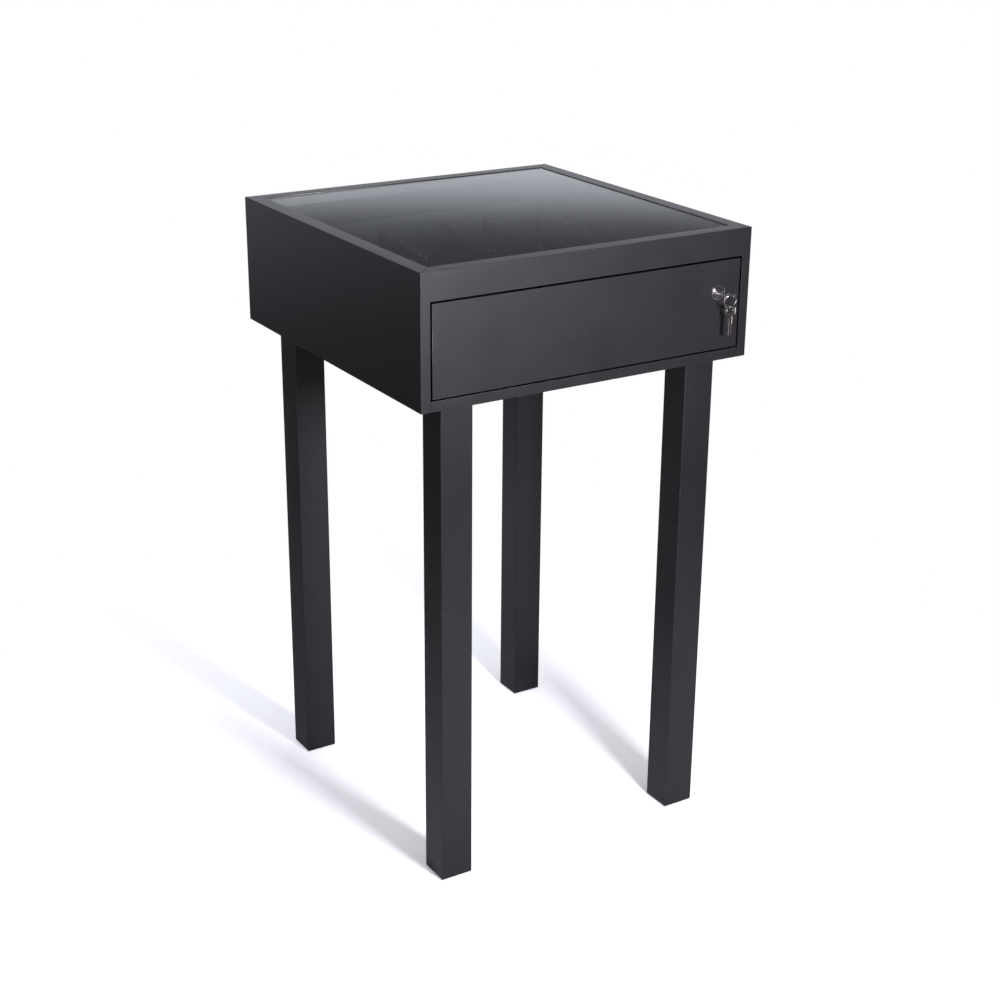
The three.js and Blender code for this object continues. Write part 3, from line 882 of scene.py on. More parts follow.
@dataclass(frozen=True)
class MatteRubber:
    """Soft black plastic or foam, grained and slightly dusty."""

    name: str
    dark: Colour = (0.012, 0.012, 0.012)
    light: Colour = (0.035, 0.035, 0.036)
    roughness: Span = (0.65, 0.9)
    scale: float = 1100.0
    dust_scale: float = 40.0
    dust_span: Span = (0.35, 0.75)
    cell_depth: float = 0.1 * MM

    def make(self) -> Material:
        """Builds the material.

        Returns:
            The rubber.
        """
        material, graph = new_graph(self.name)
        cells = graph.noise(self.scale, detail=3.0)
        dust = graph.span(graph.noise(self.dust_scale, detail=4.0), *self.dust_span)
        graph.surface(
            graph.row(
                "BsdfPrincipled",
                Base_Color=graph.blend(dust, self.dark, self.light),
                Roughness=graph.span(cells, *NOISE, *self.roughness),
                Normal=graph.bump(cells, self.cell_depth, strength=0.6),
            )
        )
        return material


class Palette:
    """The table's finishes, each made once."""

    def __init__(self) -> None:
        """Builds every finish."""
        finishes = {
            Slot.SATIN: SatinLacquer("satin_lacquer"),
            Slot.BOX: SatinLacquer(
                "drawer_board_black",
                (0.008, 0.008, 0.009),
                (0.012, 0.012, 0.013),
                roughness=(0.45, 0.58),
                specular=0.5,
                coat=0.0,
                has_painted_shade=False,
            ),
            Slot.LINER: LinerFelt("liner_felt"),
            Slot.GLASS: FloatGlass("float_glass"),
            Slot.TAPE: MatteRubber("foam_tape"),
            Slot.GLIDE: MatteRubber(
                "nylon_glide", (0.02, 0.02, 0.021), (0.05, 0.05, 0.05), roughness=(0.45, 0.65), scale=500.0
            ),
            Slot.ZINC: BrightMetal(
                "bright_zinc", (0.6, 0.61, 0.63), (0.44, 0.45, 0.47), (0.26, 0.4), grain=(1.0, 0.05, 1.0)
            ),
            Slot.CHROME: BrightMetal(
                "polished_chrome", (0.82, 0.82, 0.84), (0.72, 0.72, 0.74), (0.07, 0.14)
            ),
            Slot.NICKEL: BrightMetal(
                "key_nickel", (0.72, 0.7, 0.66), (0.58, 0.56, 0.53), (0.17, 0.27), grain=(1.0, 0.2, 1.0)
            ),
        }
        self.materials = {slot: finish.make() for slot, finish in finishes.items()}


@dataclass
class Assembly:
    """A part of the table that is built and dressed as one."""

    palette: Palette

    def build(self) -> None:
        """Builds and dresses the pieces."""
        raise NotImplementedError

    def dress(self, obj: Object, slot: Slot, body: Body, *nodes: str) -> None:
        """Gives a finished piece its material, body and the CAD nodes that it stands for.

        Args:
            obj: The piece.
            slot: The record's slot of its finish.
            body: The body that it rides on.
            nodes: The CAD nodes that it replaces.
        """
        obj.data.materials.clear()
        obj.data.materials.append(self.palette.materials[slot])
        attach(obj, body.value)
        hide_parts(*nodes)
        LOG.info("%s: %s on %s, %d faces", obj.name, slot.value, body.value, len(obj.data.polygons))


@dataclass
class CaseBoards(Assembly):
    """Side, back and bottom boards of the case."""

    edge: float = 0.6 * MM
    bolt_hole: float = 4.3 * MM
    reveal: float = 20 * MM

    def build(self) -> None:
        """Builds and dresses the four boards."""
        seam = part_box("top_frame_left")[0].z
        for node in ("left_side_panel", "right_side_panel", "back_panel"):
            low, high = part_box(node)
            high.z = seam
            board = Bench.block(node.replace("panel", "board"), low, high)
            strip = low.y + self.reveal
            with Bench.editing(board):
                Bench.pick_all()
                bpy.ops.mesh.bisect(plane_co=(0, strip, 0), plane_no=(0, 1, 0))
            Bench.ease(board, self.edge, lambda a, b: min(a.z, b.z) < seam - SAME)
            # Painted shade on the board's inner faces.
            Bench.mark(board, self.shading((low + high) / 2, strip))
            Bench.polish(board)
            self.dress(board, Slot.SATIN, Body.CASE, node)
        self.build_bottom()

    def shading(self, centre: Vector, strip: float) -> FaceTest:
        """Makes the test for the painted shade on a board's faces.

        Args:
            centre: The board's middle.
            strip: Where the strip ends, from the front, that shows beside the drawer.

        Returns:
            The test.
        """
        inwards = CASE_MIDDLE - centre
        inwards.z = 0.0

        def shade(middle: Vector, normal: Vector) -> Shade:
            """Paints shade on the inside, darkest where it shows beside the drawer."""
            beside = abs(normal.x) > FACING and middle.y < strip
            return shaded(normal.dot(inwards.normalized()) > FACING, Shade.GAP if beside else Shade.INSIDE)

        return shade

    def build_bottom(self) -> None:
        """Builds the bottom board with the holes of the leg bolts."""
        low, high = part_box("bottom_panel")
        board = Bench.block("bottom_board", low, high)
        for corner in Legs.CORNERS:
            for letter in Legs.BOLTS:
                centre = centre_of(*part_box(f"leg_bolt_{corner}_{letter}"), z=(low.z + high.z) / 2)
                Bench.carve(board, Bench.peg("drill", centre, self.bolt_hole, THROUGH, Axis.Z))
        Bench.ease(board, self.edge, long_edge())
        # Painted shade on the bottom board's upper face, inside the case.
        Bench.mark(board, lambda _, normal: shaded(normal.z > FACING))
        Bench.polish(board)
        self.dress(board, Slot.SATIN, Body.CASE, "bottom_panel")


@dataclass
class TopFrame(Assembly):
    """Mitred bars that hold the glass, and the pane on its tape."""

    rim: float = 23 * MM
    ledge: float = 8 * MM
    rebate: float = 7 * MM
    ledge_thickness: float = 12 * MM
    board: float = 15 * MM
    height: float = 40 * MM
    painted_shade_depth: float = 20 * MM
    mitre_gap: float = 0.16 * MM
    edge: float = 0.7 * MM
    arris: float = 0.6 * MM
    tape_width: float = 6 * MM
    tape_edge: float = 0.15 * MM

    def build(self) -> None:
        """Builds and dresses the bars, the pane and its tape."""
        low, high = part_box("top_frame_front")
        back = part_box("top_frame_back")[1]
        front = self.bar("top_frame_bar_front", low, high)
        to_middle = Matrix.Translation((0, (low.y + back.y) / 2, 0))
        for turns, side in enumerate(("right", "back", "left"), 1):
            spin = to_middle @ Matrix.Rotation(turns * math.pi / 2, 4, "Z") @ to_middle.inverted()
            bar = Bench.copy(front, f"top_frame_bar_{side}", spin)
            self.dress(bar, Slot.SATIN, Body.CASE, f"top_frame_{side}")
        self.dress(front, Slot.SATIN, Body.CASE, "top_frame_front")
        self.build_glass()
        self.build_tape()

    def bar(self, name: str, low: Vector, high: Vector) -> Object:
        """Makes one bar in the front bar's place.

        Args:
            name: The bar's name.
            low: Lowest corner of the front bar.
            high: Highest corner of the front bar.

        Returns:
            The bar.
        """
        under = self.rebate + self.ledge_thickness
        section = (
            (0, 0),
            (0, self.height),
            (self.board, self.height),
            (self.board, under),
            (self.rim + self.ledge, under),
            (self.rim + self.ledge, self.rebate),
            (self.rim, self.rebate),
            (self.rim, 0),
        )
        points = [Vector((low.x, low.y + inwards, high.z - down)) for inwards, down in section]
        bar = Bench.plate(name, points, Vector((high.x - low.x, 0, 0)))
        with Bench.editing(bar):
            for end, side in ((low.x, 1), (high.x, -1)):
                Bench.pick_all()
                bpy.ops.mesh.bisect(
                    plane_co=(end + side * self.mitre_gap, low.y, 0),
                    plane_no=(side, -1, 0),
                    use_fill=True,
                    clear_inner=True,
                )
            Bench.close()
        bottom = high.z - self.height

        def wanted(a: Vector, b: Vector) -> bool:
            """Leaves out the mitres and the seam with the boards."""
            return abs(a.x - b.x) > LONG and max(a.z, b.z) >= bottom + SAME

        def shade(middle: Vector, normal: Vector) -> Shade:
            """Paints shade on the underside and the lower part of the inside."""
            inside = normal.y > FACING and middle.z < bottom + self.painted_shade_depth
            return shaded(inside or normal.z < -FACING)

        Bench.ease(bar, self.edge, wanted)
        # Painted shade on the bar's underside and the lower part of its inside.
        Bench.mark(bar, shade)
        Bench.polish(bar)
        return bar

    def build_glass(self) -> None:
        """Builds the pane with its arrised edges."""
        pane = Bench.block("glass_sheet", *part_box("glass_pane"))
        Bench.ease(pane, self.arris, segments=2)
        Bench.polish(pane)
        self.dress(pane, Slot.GLASS, Body.CASE, "glass_pane")

    def build_tape(self) -> None:
        """Builds the tape ring under the pane."""
        tape = Bench.block("glazing_foam", *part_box("glazing_tape"))
        with Bench.editing(tape):
            bpy.ops.mesh.select_mode(type="FACE")
            mesh = bmesh.from_edit_mesh(tape.data)
            for face in mesh.faces:
                face.select_set(abs(face.normal.z) > FACING)
            bmesh.update_edit_mesh(tape.data)
            bpy.ops.mesh.inset(thickness=self.tape_width, use_even_offset=True)
            bpy.ops.mesh.bridge_edge_loops()
            Bench.close()
        Bench.ease(tape, self.tape_edge, segments=2)
        Bench.polish(tape)
        self.dress(tape, Slot.TAPE, Body.CASE, "glazing_tape")


@dataclass
class Legs(Assembly):
    """Square legs with their glides and the bolts that hold them."""

    CORNERS: ClassVar[tuple[str, ...]] = ("front_left", "front_right", "back_left", "back_right")
    BOLTS: ClassVar[tuple[str, ...]] = ("a", "b")
    edge: float = 1.1 * MM
    shortest_edge: float = 30 * MM
    bolt_hole: float = 4.3 * MM
    glide_hole: float = 16.3 * MM
    glide_recess: float = 4.1 * MM
    stem_hole: float = 4.3 * MM
    end_play: float = 0.3 * MM
    socket: float = 3.4 * MM
    socket_depth: float = 3 * MM
    smooth: float = 40.0

    def build(self) -> None:
        """Builds the first leg's pieces and copies them to the other corners."""
        first = self.CORNERS[0]
        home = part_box(f"leg_{first}")[0]
        rows = [
            (self.leg(first), "leg_post_{}", "leg_{}", Slot.SATIN),
            (self.glide(first), "foot_{}", "glide_{}", Slot.GLIDE),
        ]
        for letter in self.BOLTS:
            bolt = self.bolt(first, letter)
            rows.append((bolt, f"leg_screw_{{}}_{letter}", f"leg_bolt_{{}}_{letter}", Slot.ZINC))
        for corner in self.CORNERS[1:]:
            step = Matrix.Translation(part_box(f"leg_{corner}")[0] - home)
            for piece, name, node, slot in rows:
                twin = Bench.copy(piece, name.format(corner), step)
                self.dress(twin, slot, Body.CASE, node.format(corner))
        for piece, _, node, slot in rows:
            self.dress(piece, slot, Body.CASE, node.format(first))

    def leg(self, corner: str) -> Object:
        """Makes a leg with its holes and eased edges.

        Args:
            corner: The leg's corner of the table.

        Returns:
            The leg.
        """
        low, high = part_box(f"leg_{corner}")
        leg = Bench.block(f"leg_post_{corner}", low, high)
        foot = centre_of(low, high, z=0.0)
        stem_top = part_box(f"glide_{corner}")[1].z + self.end_play
        recess = Bench.peg("drill", foot, self.glide_hole, 2 * self.glide_recess, Axis.Z, sides=48)
        Bench.carve(leg, recess, Bench.peg("drill", foot, self.stem_hole, 2 * stem_top, Axis.Z))
        for letter in self.BOLTS:
            start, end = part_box(f"leg_bolt_{corner}_{letter}")
            reach = 2 * (high.z - start.z + self.end_play)
            centre = centre_of(start, end, z=high.z)
            Bench.carve(leg, Bench.peg("drill", centre, self.bolt_hole, reach, Axis.Z))
        Bench.ease(leg, self.edge, long_edge(self.shortest_edge))
        Bench.polish(leg)
        return leg

    def glide(self, corner: str) -> Object:
        """Turns a glide with a rounded rim and its stem.

        Args:
            corner: The leg's corner of the table.

        Returns:
            The glide.
        """
        low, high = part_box(f"glide_{corner}")
        stem = (high.z - low.z) / MM
        profile = [(0, 0), (14.4, 0), (15.4, 0.3), (16, 1.1), (16, 3.3), (15.4, 4), (4, 4)]
        profile += [(4, stem - 1), (3.2, stem), (0, stem)]
        glide = Bench.turn(f"foot_{corner}", in_mm(profile), centre_of(low, high, z=low.z), Axis.Z)
        Bench.polish(glide, self.smooth)
        return glide

    def bolt(self, corner: str, letter: str) -> Object:
        """Turns a round-head bolt and cuts its hexagon socket.

        Args:
            corner: The leg's corner of the table.
            letter: Which of the leg's bolts it is.

        Returns:
            The bolt.
        """
        low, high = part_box(f"leg_bolt_{corner}_{letter}")
        centre = centre_of(low, high, z=high.z)
        tip = (low.z - high.z) / MM
        profile = [(0, tip), (3.2, tip), (4, tip + 1), (4, -5), (8.2, -5), (8.5, -4.7), (8.4, -3.4)]
        profile += [(7.6, -1.6), (6.2, -0.5), (4.6, 0), (0, 0)]
        bolt = Bench.turn(f"leg_screw_{corner}_{letter}", in_mm(profile), centre, Axis.Z, steps=40)
        Bench.carve(bolt, Bench.peg("socket", centre, self.socket, 2 * self.socket_depth, Axis.Z, sides=6))
        Bench.polish(bolt, self.smooth)
        return bolt


@dataclass
class DrawerBox(Assembly):
    """Drawer front and the box behind it, with its felt."""

    edge: float = 0.3 * MM
    edge_on: float = 0.3
    box_edge: float = 0.5 * MM
    felt_edge: float = 0.4 * MM
    lock_hole: float = 9.8 * MM
    groove_depth: float = 6 * MM
    groove_play: float = 0.1 * MM
    overshoot: float = 10 * MM

    def build(self) -> None:
        """Builds and dresses the drawer's boards and its liner."""
        front = Bench.block("drawer_face", *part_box("drawer_front"))
        lock = centre_of(*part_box("lock_body"))
        Bench.carve(front, Bench.peg("drill", lock, self.lock_hole, THROUGH, Axis.Y, sides=56))
        Bench.ease(front, self.edge, long_edge())
        # Painted shade: the front's edge faces, seen in the drawer's gap, are turned black.
        Bench.mark(front, lambda _, normal: shaded(abs(normal.y) < self.edge_on, Shade.GAP))
        Bench.polish(front)
        self.dress(front, Slot.SATIN, Body.DRAWER, "drawer_front")
        for side in ("left", "right"):
            self.build_side(side)
        for node in ("drawer_back", "drawer_bottom"):
            board = Bench.block(node + "_board", *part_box(node))
            Bench.ease(board, self.box_edge)
            Bench.polish(board)
            self.dress(board, Slot.BOX, Body.DRAWER, node)
        self.build_liner()

    def build_side(self, side: str) -> None:
        """Builds one side with the groove that holds the bottom.

        Args:
            side: Left or right.
        """
        node = f"drawer_{side}_side"
        low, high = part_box(node)
        board = Bench.block(node + "_board", low, high)
        floor_low, floor_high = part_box("drawer_bottom")
        inner = high.x if side == "left" else low.x
        depth, past = self.groove_depth, self.overshoot
        first = Vector((inner - depth, low.y - past, floor_low.z - self.groove_play))
        last = Vector((inner + depth, high.y + past, floor_high.z + self.groove_play))
        Bench.carve(board, Bench.block("groove", first, last))
        Bench.ease(board, self.box_edge, long_edge())
        Bench.polish(board)
        self.dress(board, Slot.BOX, Body.DRAWER, node)

    def build_liner(self) -> None:
        """Builds the felt, laid flat on the bottom, as a sheet."""
        low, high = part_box("drawer_liner")
        liner = Bench.block("felt_liner", low, high)
        Bench.ease(liner, self.felt_edge)
        Bench.polish(liner)
        self.dress(liner, Slot.LINER, Body.DRAWER, "drawer_liner")


@dataclass
class DrawerSlides(Assembly):
    """Three-part slides: case, middle and drawer members on each side."""

    sheet: float = 1.2 * MM
    bend: float = 2.2 * MM
    race: float = 0.9 * MM
    edge: float = 0.25 * MM
    hole: float = 3.2 * MM
    punch: float = 8 * MM
    hole_places: tuple[float, ...] = (0.08, 0.36, 0.64, 0.92)
    screw_head: float = 3.4 * MM
    screw_height: float = 1.5 * MM
    smooth: float = 40.0

    def build(self) -> None:
        """Builds the left members and mirrors them to the right."""
        for member, body in (("case", Body.CASE), ("middle", Body.MIDDLES), ("drawer", Body.DRAWER)):
            left = self.member(member)
            right = Bench.copy(left, f"right_runner_{member}", Matrix.Scale(-1, 4, (1, 0, 0)))
            Bench.polish(right, self.smooth)
            self.dress(left, Slot.ZINC, body, f"left_slide_{member}_member")
            self.dress(right, Slot.ZINC, body, f"right_slide_{member}_member")

    def member(self, member: str) -> Object:
        """Bends one left member from sheet and gives it holes or screws.

        Args:
            member: Which of the three it is.

        Returns:
            The member.
        """
        low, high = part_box(f"left_slide_{member}_member")
        half = self.sheet / 2
        web, lip = low.x + half, high.x - half
        if member == "drawer":
            web, lip = high.x - half, low.x + half
        way = math.copysign(1.0, lip - web)
        bottom, top = low.z + half, high.z - half
        bend, race = self.bend, self.race
        edge = [
            (web, bottom + bend),
            (web + way * 0.3 * bend, bottom + 0.3 * bend),
            (web + way * bend, bottom),
            (lip - way * 2.2 * bend, bottom),
            (lip - way * 0.9 * bend, bottom + 0.25 * race),
            (lip, bottom + race),
        ]
        path = [*reversed(edge), *[(x, top + bottom - z) for x, z in edge]]
        runner = Bench.draw(f"left_runner_{member}", [Vector((x, low.y, z)) for x, z in path])
        with Bench.editing(runner):
            Bench.pick_all()
            bpy.ops.mesh.extrude_region_move(TRANSFORM_OT_translate={"value": (0, high.y - low.y, 0)})
            Bench.close()
        Bench.apply(runner, "SOLIDIFY", thickness=self.sheet, offset=0.0, use_even_offset=True)
        middle = (low.z + high.z) / 2
        places = [low.y + (high.y - low.y) * share for share in self.hole_places]
        for y in places:
            Bench.carve(runner, Bench.peg("punch", Vector((web, y, middle)), self.hole, self.punch, Axis.X))
        Bench.ease(runner, self.edge, long_edge(), segments=2)
        if member == "drawer":
            Bench.weld(runner, *[self.screw(Vector((web - half, y, middle))) for y in places])
        Bench.polish(runner, self.smooth)
        return runner

    def screw(self, seat: Vector) -> Object:
        """Turns a pan-head screw with a cross slot, head towards the case side.

        Args:
            seat: Middle of the face that it is driven into.

        Returns:
            The screw.
        """
        head, height = self.screw_head, self.screw_height
        profile = [*in_mm([(0, 4), (1.6, 2.6), (1.6, 0)]), (head, 0), (head, -0.5 * height)]
        profile += [(0.75 * head, -0.9 * height), (0.35 * head, -height), (0, -height)]
        screw = Bench.turn("slide_screw", profile, seat, Axis.X, steps=30)
        top = seat - Vector((height, 0, 0))
        Bench.cross(screw, top, Axis.X, reach=2.2 * MM, half=0.6 * MM, depth=0.9 * MM)
        return screw


@dataclass
class CamLock(Assembly):
    """Cam lock in the drawer front and the strike plate that it catches."""

    steps: int = 64
    smooth: float = 35.0
    barrel: float = 9.5
    thread_root: float = 9.05
    thread_start: float = 15.0
    thread_pitch: float = 1.0
    nut_bore: float = 9.75 * MM
    nut_flat: float = 8 * MM
    nut_edge: float = 0.5 * MM
    keyway: Triple = (3.8 * MM, 16.3 * MM, 1.4 * MM)
    tail: float = 3.5 * MM
    tail_root: float = 0.5 * MM
    tail_edge: float = 0.4 * MM
    cam_steps: int = 12
    cam_edge: float = 0.35 * MM
    strike_edge: float = 0.5 * MM
    strike_pocket: float = 3.7 * MM
    pocket_depth: float = 1.7 * MM
    strike_hole: float = 2.1 * MM
    axis: Vector = field(init=False)
    end: float = field(init=False)

    def build(self) -> None:
        """Builds and dresses the lock's pieces."""
        low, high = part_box("lock_body")
        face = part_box("drawer_front")[0].y
        self.axis = centre_of(low, high, y=face)
        self.end = (high.y - face) / MM
        self.dress(self.body(), Slot.CHROME, Body.DRAWER, "lock_body")
        self.dress(self.nut(), Slot.ZINC, Body.DRAWER, "lock_nut")
        self.dress(self.plug(), Slot.CHROME, Body.CORE, "lock_plug")
        self.dress(self.cam(), Slot.ZINC, Body.CORE, "lock_cam")
        self.dress(self.cam_screw(), Slot.ZINC, Body.CORE, "cam_screw")
        self.build_strike()

    def turned(self, name: str, profile: Profile) -> Object:
        """Turns a profile in millimetres round the lock's axis."""
        return Bench.turn(name, in_mm(profile), self.axis, Axis.Y, self.steps)

    def body(self) -> Object:
        """Turns the bezel with its rolled lip, and the threaded barrel.

        Returns:
            The lock's body.
        """
        profile = [(6.8, -1.2), (7.2, -1.5), (8.6, -1.5), (9.2, -1.9), (9.8, -2.0), (10.4, -1.85)]
        profile += [(10.85, -1.45), (11, -0.9), (11, -0.25), (10.85, -0.1)]
        profile += [(self.barrel, -0.1), (self.barrel, self.thread_start - 0.4)]
        crest = self.thread_start
        while crest + self.thread_pitch < self.end:
            profile += [(self.barrel, crest), (self.thread_root, crest + 0.45), (self.barrel, crest + 0.9)]
            crest += self.thread_pitch
        profile += [(9.3, self.end), (6.8, self.end)]
        body = self.turned("lock_case", profile)
        Bench.polish(body, self.smooth)
        return body

    def nut(self) -> Object:
        """Makes the hexagon nut with chamfered corners.

        Returns:
            The nut.
        """
        low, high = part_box("lock_nut")
        centre = centre_of(low, high, x=self.axis.x, z=self.axis.z)
        radius, depth = (high.x - low.x) / 2, high.y - low.y
        nut = Bench.peg("lock_hex_nut", centre, radius, depth, Axis.Y, sides=6)
        with Bench.editing(nut):
            Bench.pick_all()
            corner = max((v.co for v in bmesh.from_edit_mesh(nut.data).verts), key=lambda p: p.x)
            angle = math.atan2(corner.z - centre.z, corner.x - centre.x)
            bpy.ops.transform.rotate(value=angle, orient_axis="Y", center_override=centre)
        Bench.carve(nut, Bench.peg("bore", centre, self.nut_bore, THROUGH, Axis.Y, sides=48))
        Bench.ease(nut, self.nut_edge, long_edge(self.nut_flat))
        Bench.polish(nut, self.smooth)
        return nut

    def plug(self) -> Object:
        """Turns the plug, cuts its keyway and adds its square tail.

        Returns:
            The plug.
        """
        profile = [(0, -1.5), (5.0, -1.5), (5.4, -1.75), (6.1, -1.75), (6.5, -1.35)]
        plug = self.turned("lock_cylinder", [*profile, (6.5, self.end), (0, self.end)])
        slot = Vector(self.keyway)
        Bench.carve(plug, Bench.block("keyway", self.axis - slot, self.axis + slot))
        half = self.tail
        first = self.axis + Vector((-half, self.end * MM - self.tail_root, -half))
        last = Vector((self.axis.x + half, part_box("lock_plug")[1].y, self.axis.z + half))
        tail = Bench.block("tail", first, last)
        Bench.ease(tail, self.tail_edge, segments=2)
        Bench.weld(plug, tail)
        Bench.polish(plug, self.smooth)
        return plug

    def cam(self) -> Object:
        """Cuts the cam with its round ends and eases its edges.

        Returns:
            The cam.
        """
        low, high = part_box("lock_cam")
        half = (high.z - low.z) / 2
        points = []
        for x, start in ((high.x - half, -90.0), (low.x + half, 90.0)):
            for step in range(self.cam_steps + 1):
                angle = math.radians(start + 180 * step / self.cam_steps)
                spot = (x + half * math.cos(angle), low.y, self.axis.z + half * math.sin(angle))
                points.append(Vector(spot))
        cam = Bench.plate("lock_tongue", points, Vector((0, high.y - low.y, 0)))
        Bench.ease(cam, self.cam_edge, segments=2)
        Bench.polish(cam, self.smooth)
        return cam

    def cam_screw(self) -> Object:
        """Turns the screw that holds the cam, with a cross slot.

        Returns:
            The screw.
        """
        low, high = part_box("cam_screw")
        back, tip = (high.y - self.axis.y) / MM, (low.y - self.axis.y) / MM
        profile = [(0, tip), (2, tip), (2, back - 2.2), (5.4, back - 2.2), (5.4, back - 1.1)]
        profile += [(4.6, back - 0.4), (3.0, back), (0, back)]
        screw = self.turned("cam_fixing_screw", profile)
        top = Vector((self.axis.x, high.y, self.axis.z))
        Bench.cross(screw, top, Axis.Y, reach=3.0 * MM, half=0.45 * MM, depth=1.1 * MM)
        Bench.polish(screw, self.smooth)
        return screw

    def build_strike(self) -> None:
        """Builds the strike plate with its two screws."""
        plate = Bench.block("strike_plate", *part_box("lock_strike"))
        Bench.ease(plate, self.strike_edge)
        for side in ("left", "right"):
            first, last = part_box(f"strike_screw_{side}")
            seat = centre_of(first, last, y=last.y)
            tip = (first.y - last.y) / MM
            pocket = Bench.peg("pocket", seat, self.strike_pocket, 2 * self.pocket_depth, Axis.Y, sides=32)
            Bench.carve(plate, pocket, Bench.peg("hole", seat, self.strike_hole, THROUGH, Axis.Y))
            profile = [(0, tip), (0.6, tip), (1.8, tip + 2), (1.8, -1.5), (3.4, -1.5), (3.4, -0.6)]
            profile += [(2.6, -0.1), (0, 0)]
            screw = Bench.turn(f"strike_fixing_{side}", in_mm(profile), seat, Axis.Y, steps=30)
            Bench.cross(screw, seat, Axis.Y, reach=2.0 * MM, half=0.35 * MM, depth=0.9 * MM)
            Bench.polish(screw, self.smooth)
            self.dress(screw, Slot.ZINC, Body.CASE, f"strike_screw_{side}")
        Bench.polish(plate, self.smooth)
        self.dress(plate, Slot.ZINC, Body.CASE, "lock_strike")


@dataclass
class KeySet(Assembly):
    """Key in the lock, its split ring, and the spare key that hangs on the ring."""

    bow: float = 16 * MM
    corner: float = 5 * MM
    corner_steps: int = 6
    hole: float = 4.8 * MM
    hole_rim: float = 1.1 * MM
    thickness: float = 2.2 * MM
    edge: float = 0.16 * MM
    shank: float = 3.5 * MM
    shank_out: float = 11 * MM
    blade: float = 18 * MM
    tip: float = 2.5 * MM
    pitch: float = 3.6 * MM
    cuts: tuple[float, ...] = (1.2 * MM, 1.9 * MM, 0.9 * MM, 1.6 * MM)
    panel_inset: float = 1.3 * MM
    panel_depth: float = 0.28 * MM
    panel_corner: float = 3.6 * MM
    milling: tuple[Span, Span] = ((-0.6 * MM, 1.0 * MM), (-1.5 * MM, 0.1 * MM))
    milling_start: float = 4 * MM
    milling_depth: float = 0.55 * MM
    spare_turn: float = -62.0
    ring_gap: float = 0.06 * MM
    ring_edge: float = 0.22 * MM
    ring_turn: float = 340.0
    ring_steps: int = 68
    smooth: float = 40.0

    def build(self) -> None:
        """Builds and dresses both keys and the ring."""
        low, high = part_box("key")
        home = centre_of(low, high, y=low.y + self.bow / 2)
        key = self.key()
        low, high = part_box("spare_key")
        hung = centre_of(low, high, z=high.z - self.bow / 2)
        hang = Matrix.Rotation(math.radians(self.spare_turn), 4, "Z") @ Matrix.Rotation(-math.pi / 2, 4, "X")
        spare = Bench.copy(key, "hanging_spare_key", Matrix.Translation(hung) @ hang)
        key.data.transform(Matrix.Translation(home))
        self.dress(key, Slot.NICKEL, Body.KEY, "key")
        self.dress(spare, Slot.NICKEL, Body.SPARE, "spare_key")
        self.dress(self.ring(), Slot.CHROME, Body.RING, "key_ring")

    def outline(self) -> list[Vector]:
        """Draws the key in X and Y, round the bow's hole, with the blade along +Y.

        Returns:
            The outline's corners.
        """
        half, corner, shank = self.bow / 2, self.corner, self.shank
        points = [(-shank, half)]
        for x, y, start in ((-1, 1, 90), (-1, -1, 180), (1, -1, 270), (1, 1, 0)):
            middle = (x * (half - corner), y * (half - corner))
            for step in range(self.corner_steps + 1):
                angle = math.radians(start + 90 * step / self.corner_steps)
                points.append((middle[0] + corner * math.cos(angle), middle[1] + corner * math.sin(angle)))
        points.append((shank, half))
        start = half + self.shank_out
        end = start + self.blade
        for index, depth in enumerate(self.cuts):
            middle = start + (index + 0.7) * self.pitch
            points += [(shank, middle - self.pitch / 2), (shank - depth, middle)]
        last = start + (len(self.cuts) + 0.2) * self.pitch
        points += [(shank, min(last, end - self.tip)), (shank - self.tip, end)]
        points += [(self.tip - shank, end), (-shank, end - self.tip)]
        return [Vector((x, y, -self.thickness / 2)) for x, y in points]

    def key(self) -> Object:
        """Cuts a key from plate: bow with its hole and sunk panels, and a milled blade.

        Returns:
            The key, round the origin.
        """
        key = Bench.plate("lock_key_blank", self.outline(), Vector((0, 0, self.thickness)))
        half = self.bow / 2
        Bench.carve(key, Bench.peg("eye", Vector((0, 0, 0)), self.hole, THROUGH, Axis.Z, sides=40))
        for side, (left, right) in zip((-1, 1), self.milling):
            face = Vector((0, 0, side * self.thickness / 2))
            size = Vector((half - self.panel_inset, half - self.panel_inset, self.panel_depth))
            panel = Bench.block("panel", face - size, face + size)
            Bench.ease(panel, self.panel_corner, lambda a, b: abs(a.z - b.z) > self.panel_depth, segments=6)
            rim = Bench.peg("rim", face, self.hole + self.hole_rim, THROUGH, Axis.Z, sides=40)
            Bench.carve(panel, rim)
            end = half + self.shank_out + self.blade + MM
            first = Vector((left, half + self.milling_start, face.z - self.milling_depth))
            last = Vector((right, end, face.z + self.milling_depth))
            Bench.carve(key, panel, Bench.block("milling", first, last))
        Bench.ease(key, self.edge, segments=2)
        Bench.polish(key, self.smooth)
        return key

    def ring(self) -> Object:
        """Winds a split ring: two turns of flat wire and the step between them.

        Returns:
            The ring.
        """
        low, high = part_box("key_ring")
        centre = (low + high) / 2
        outer, wire = (high.x - low.x) / 2, high.y - low.y
        thick = wire / 2 - self.ring_gap / 2
        inner, soft = outer - wire, self.ring_edge
        section = [(inner + soft, 0), (outer - soft, 0), (outer, soft), (outer, thick - soft)]
        section += [(outer - soft, thick), (inner + soft, thick), (inner, thick - soft), (inner, soft)]
        start = Vector((0, -wire / 2, 0)) + centre
        ring = Bench.draw("split_ring", [start + Vector((radius, height, 0)) for radius, height in section])
        with Bench.editing(ring):
            Bench.fill()
            angle = math.radians(self.ring_turn)
            bpy.ops.mesh.spin(steps=self.ring_steps, angle=angle, center=centre, axis=Axis.Y.along)
            Bench.close()
        rise = Vector((0, thick + self.ring_gap, 0))
        Bench.weld(ring, Bench.copy(ring, "upper_turn", Matrix.Translation(rise)))
        self.join_turns(ring, centre, len(section))
        Bench.polish(ring, self.smooth)
        return ring

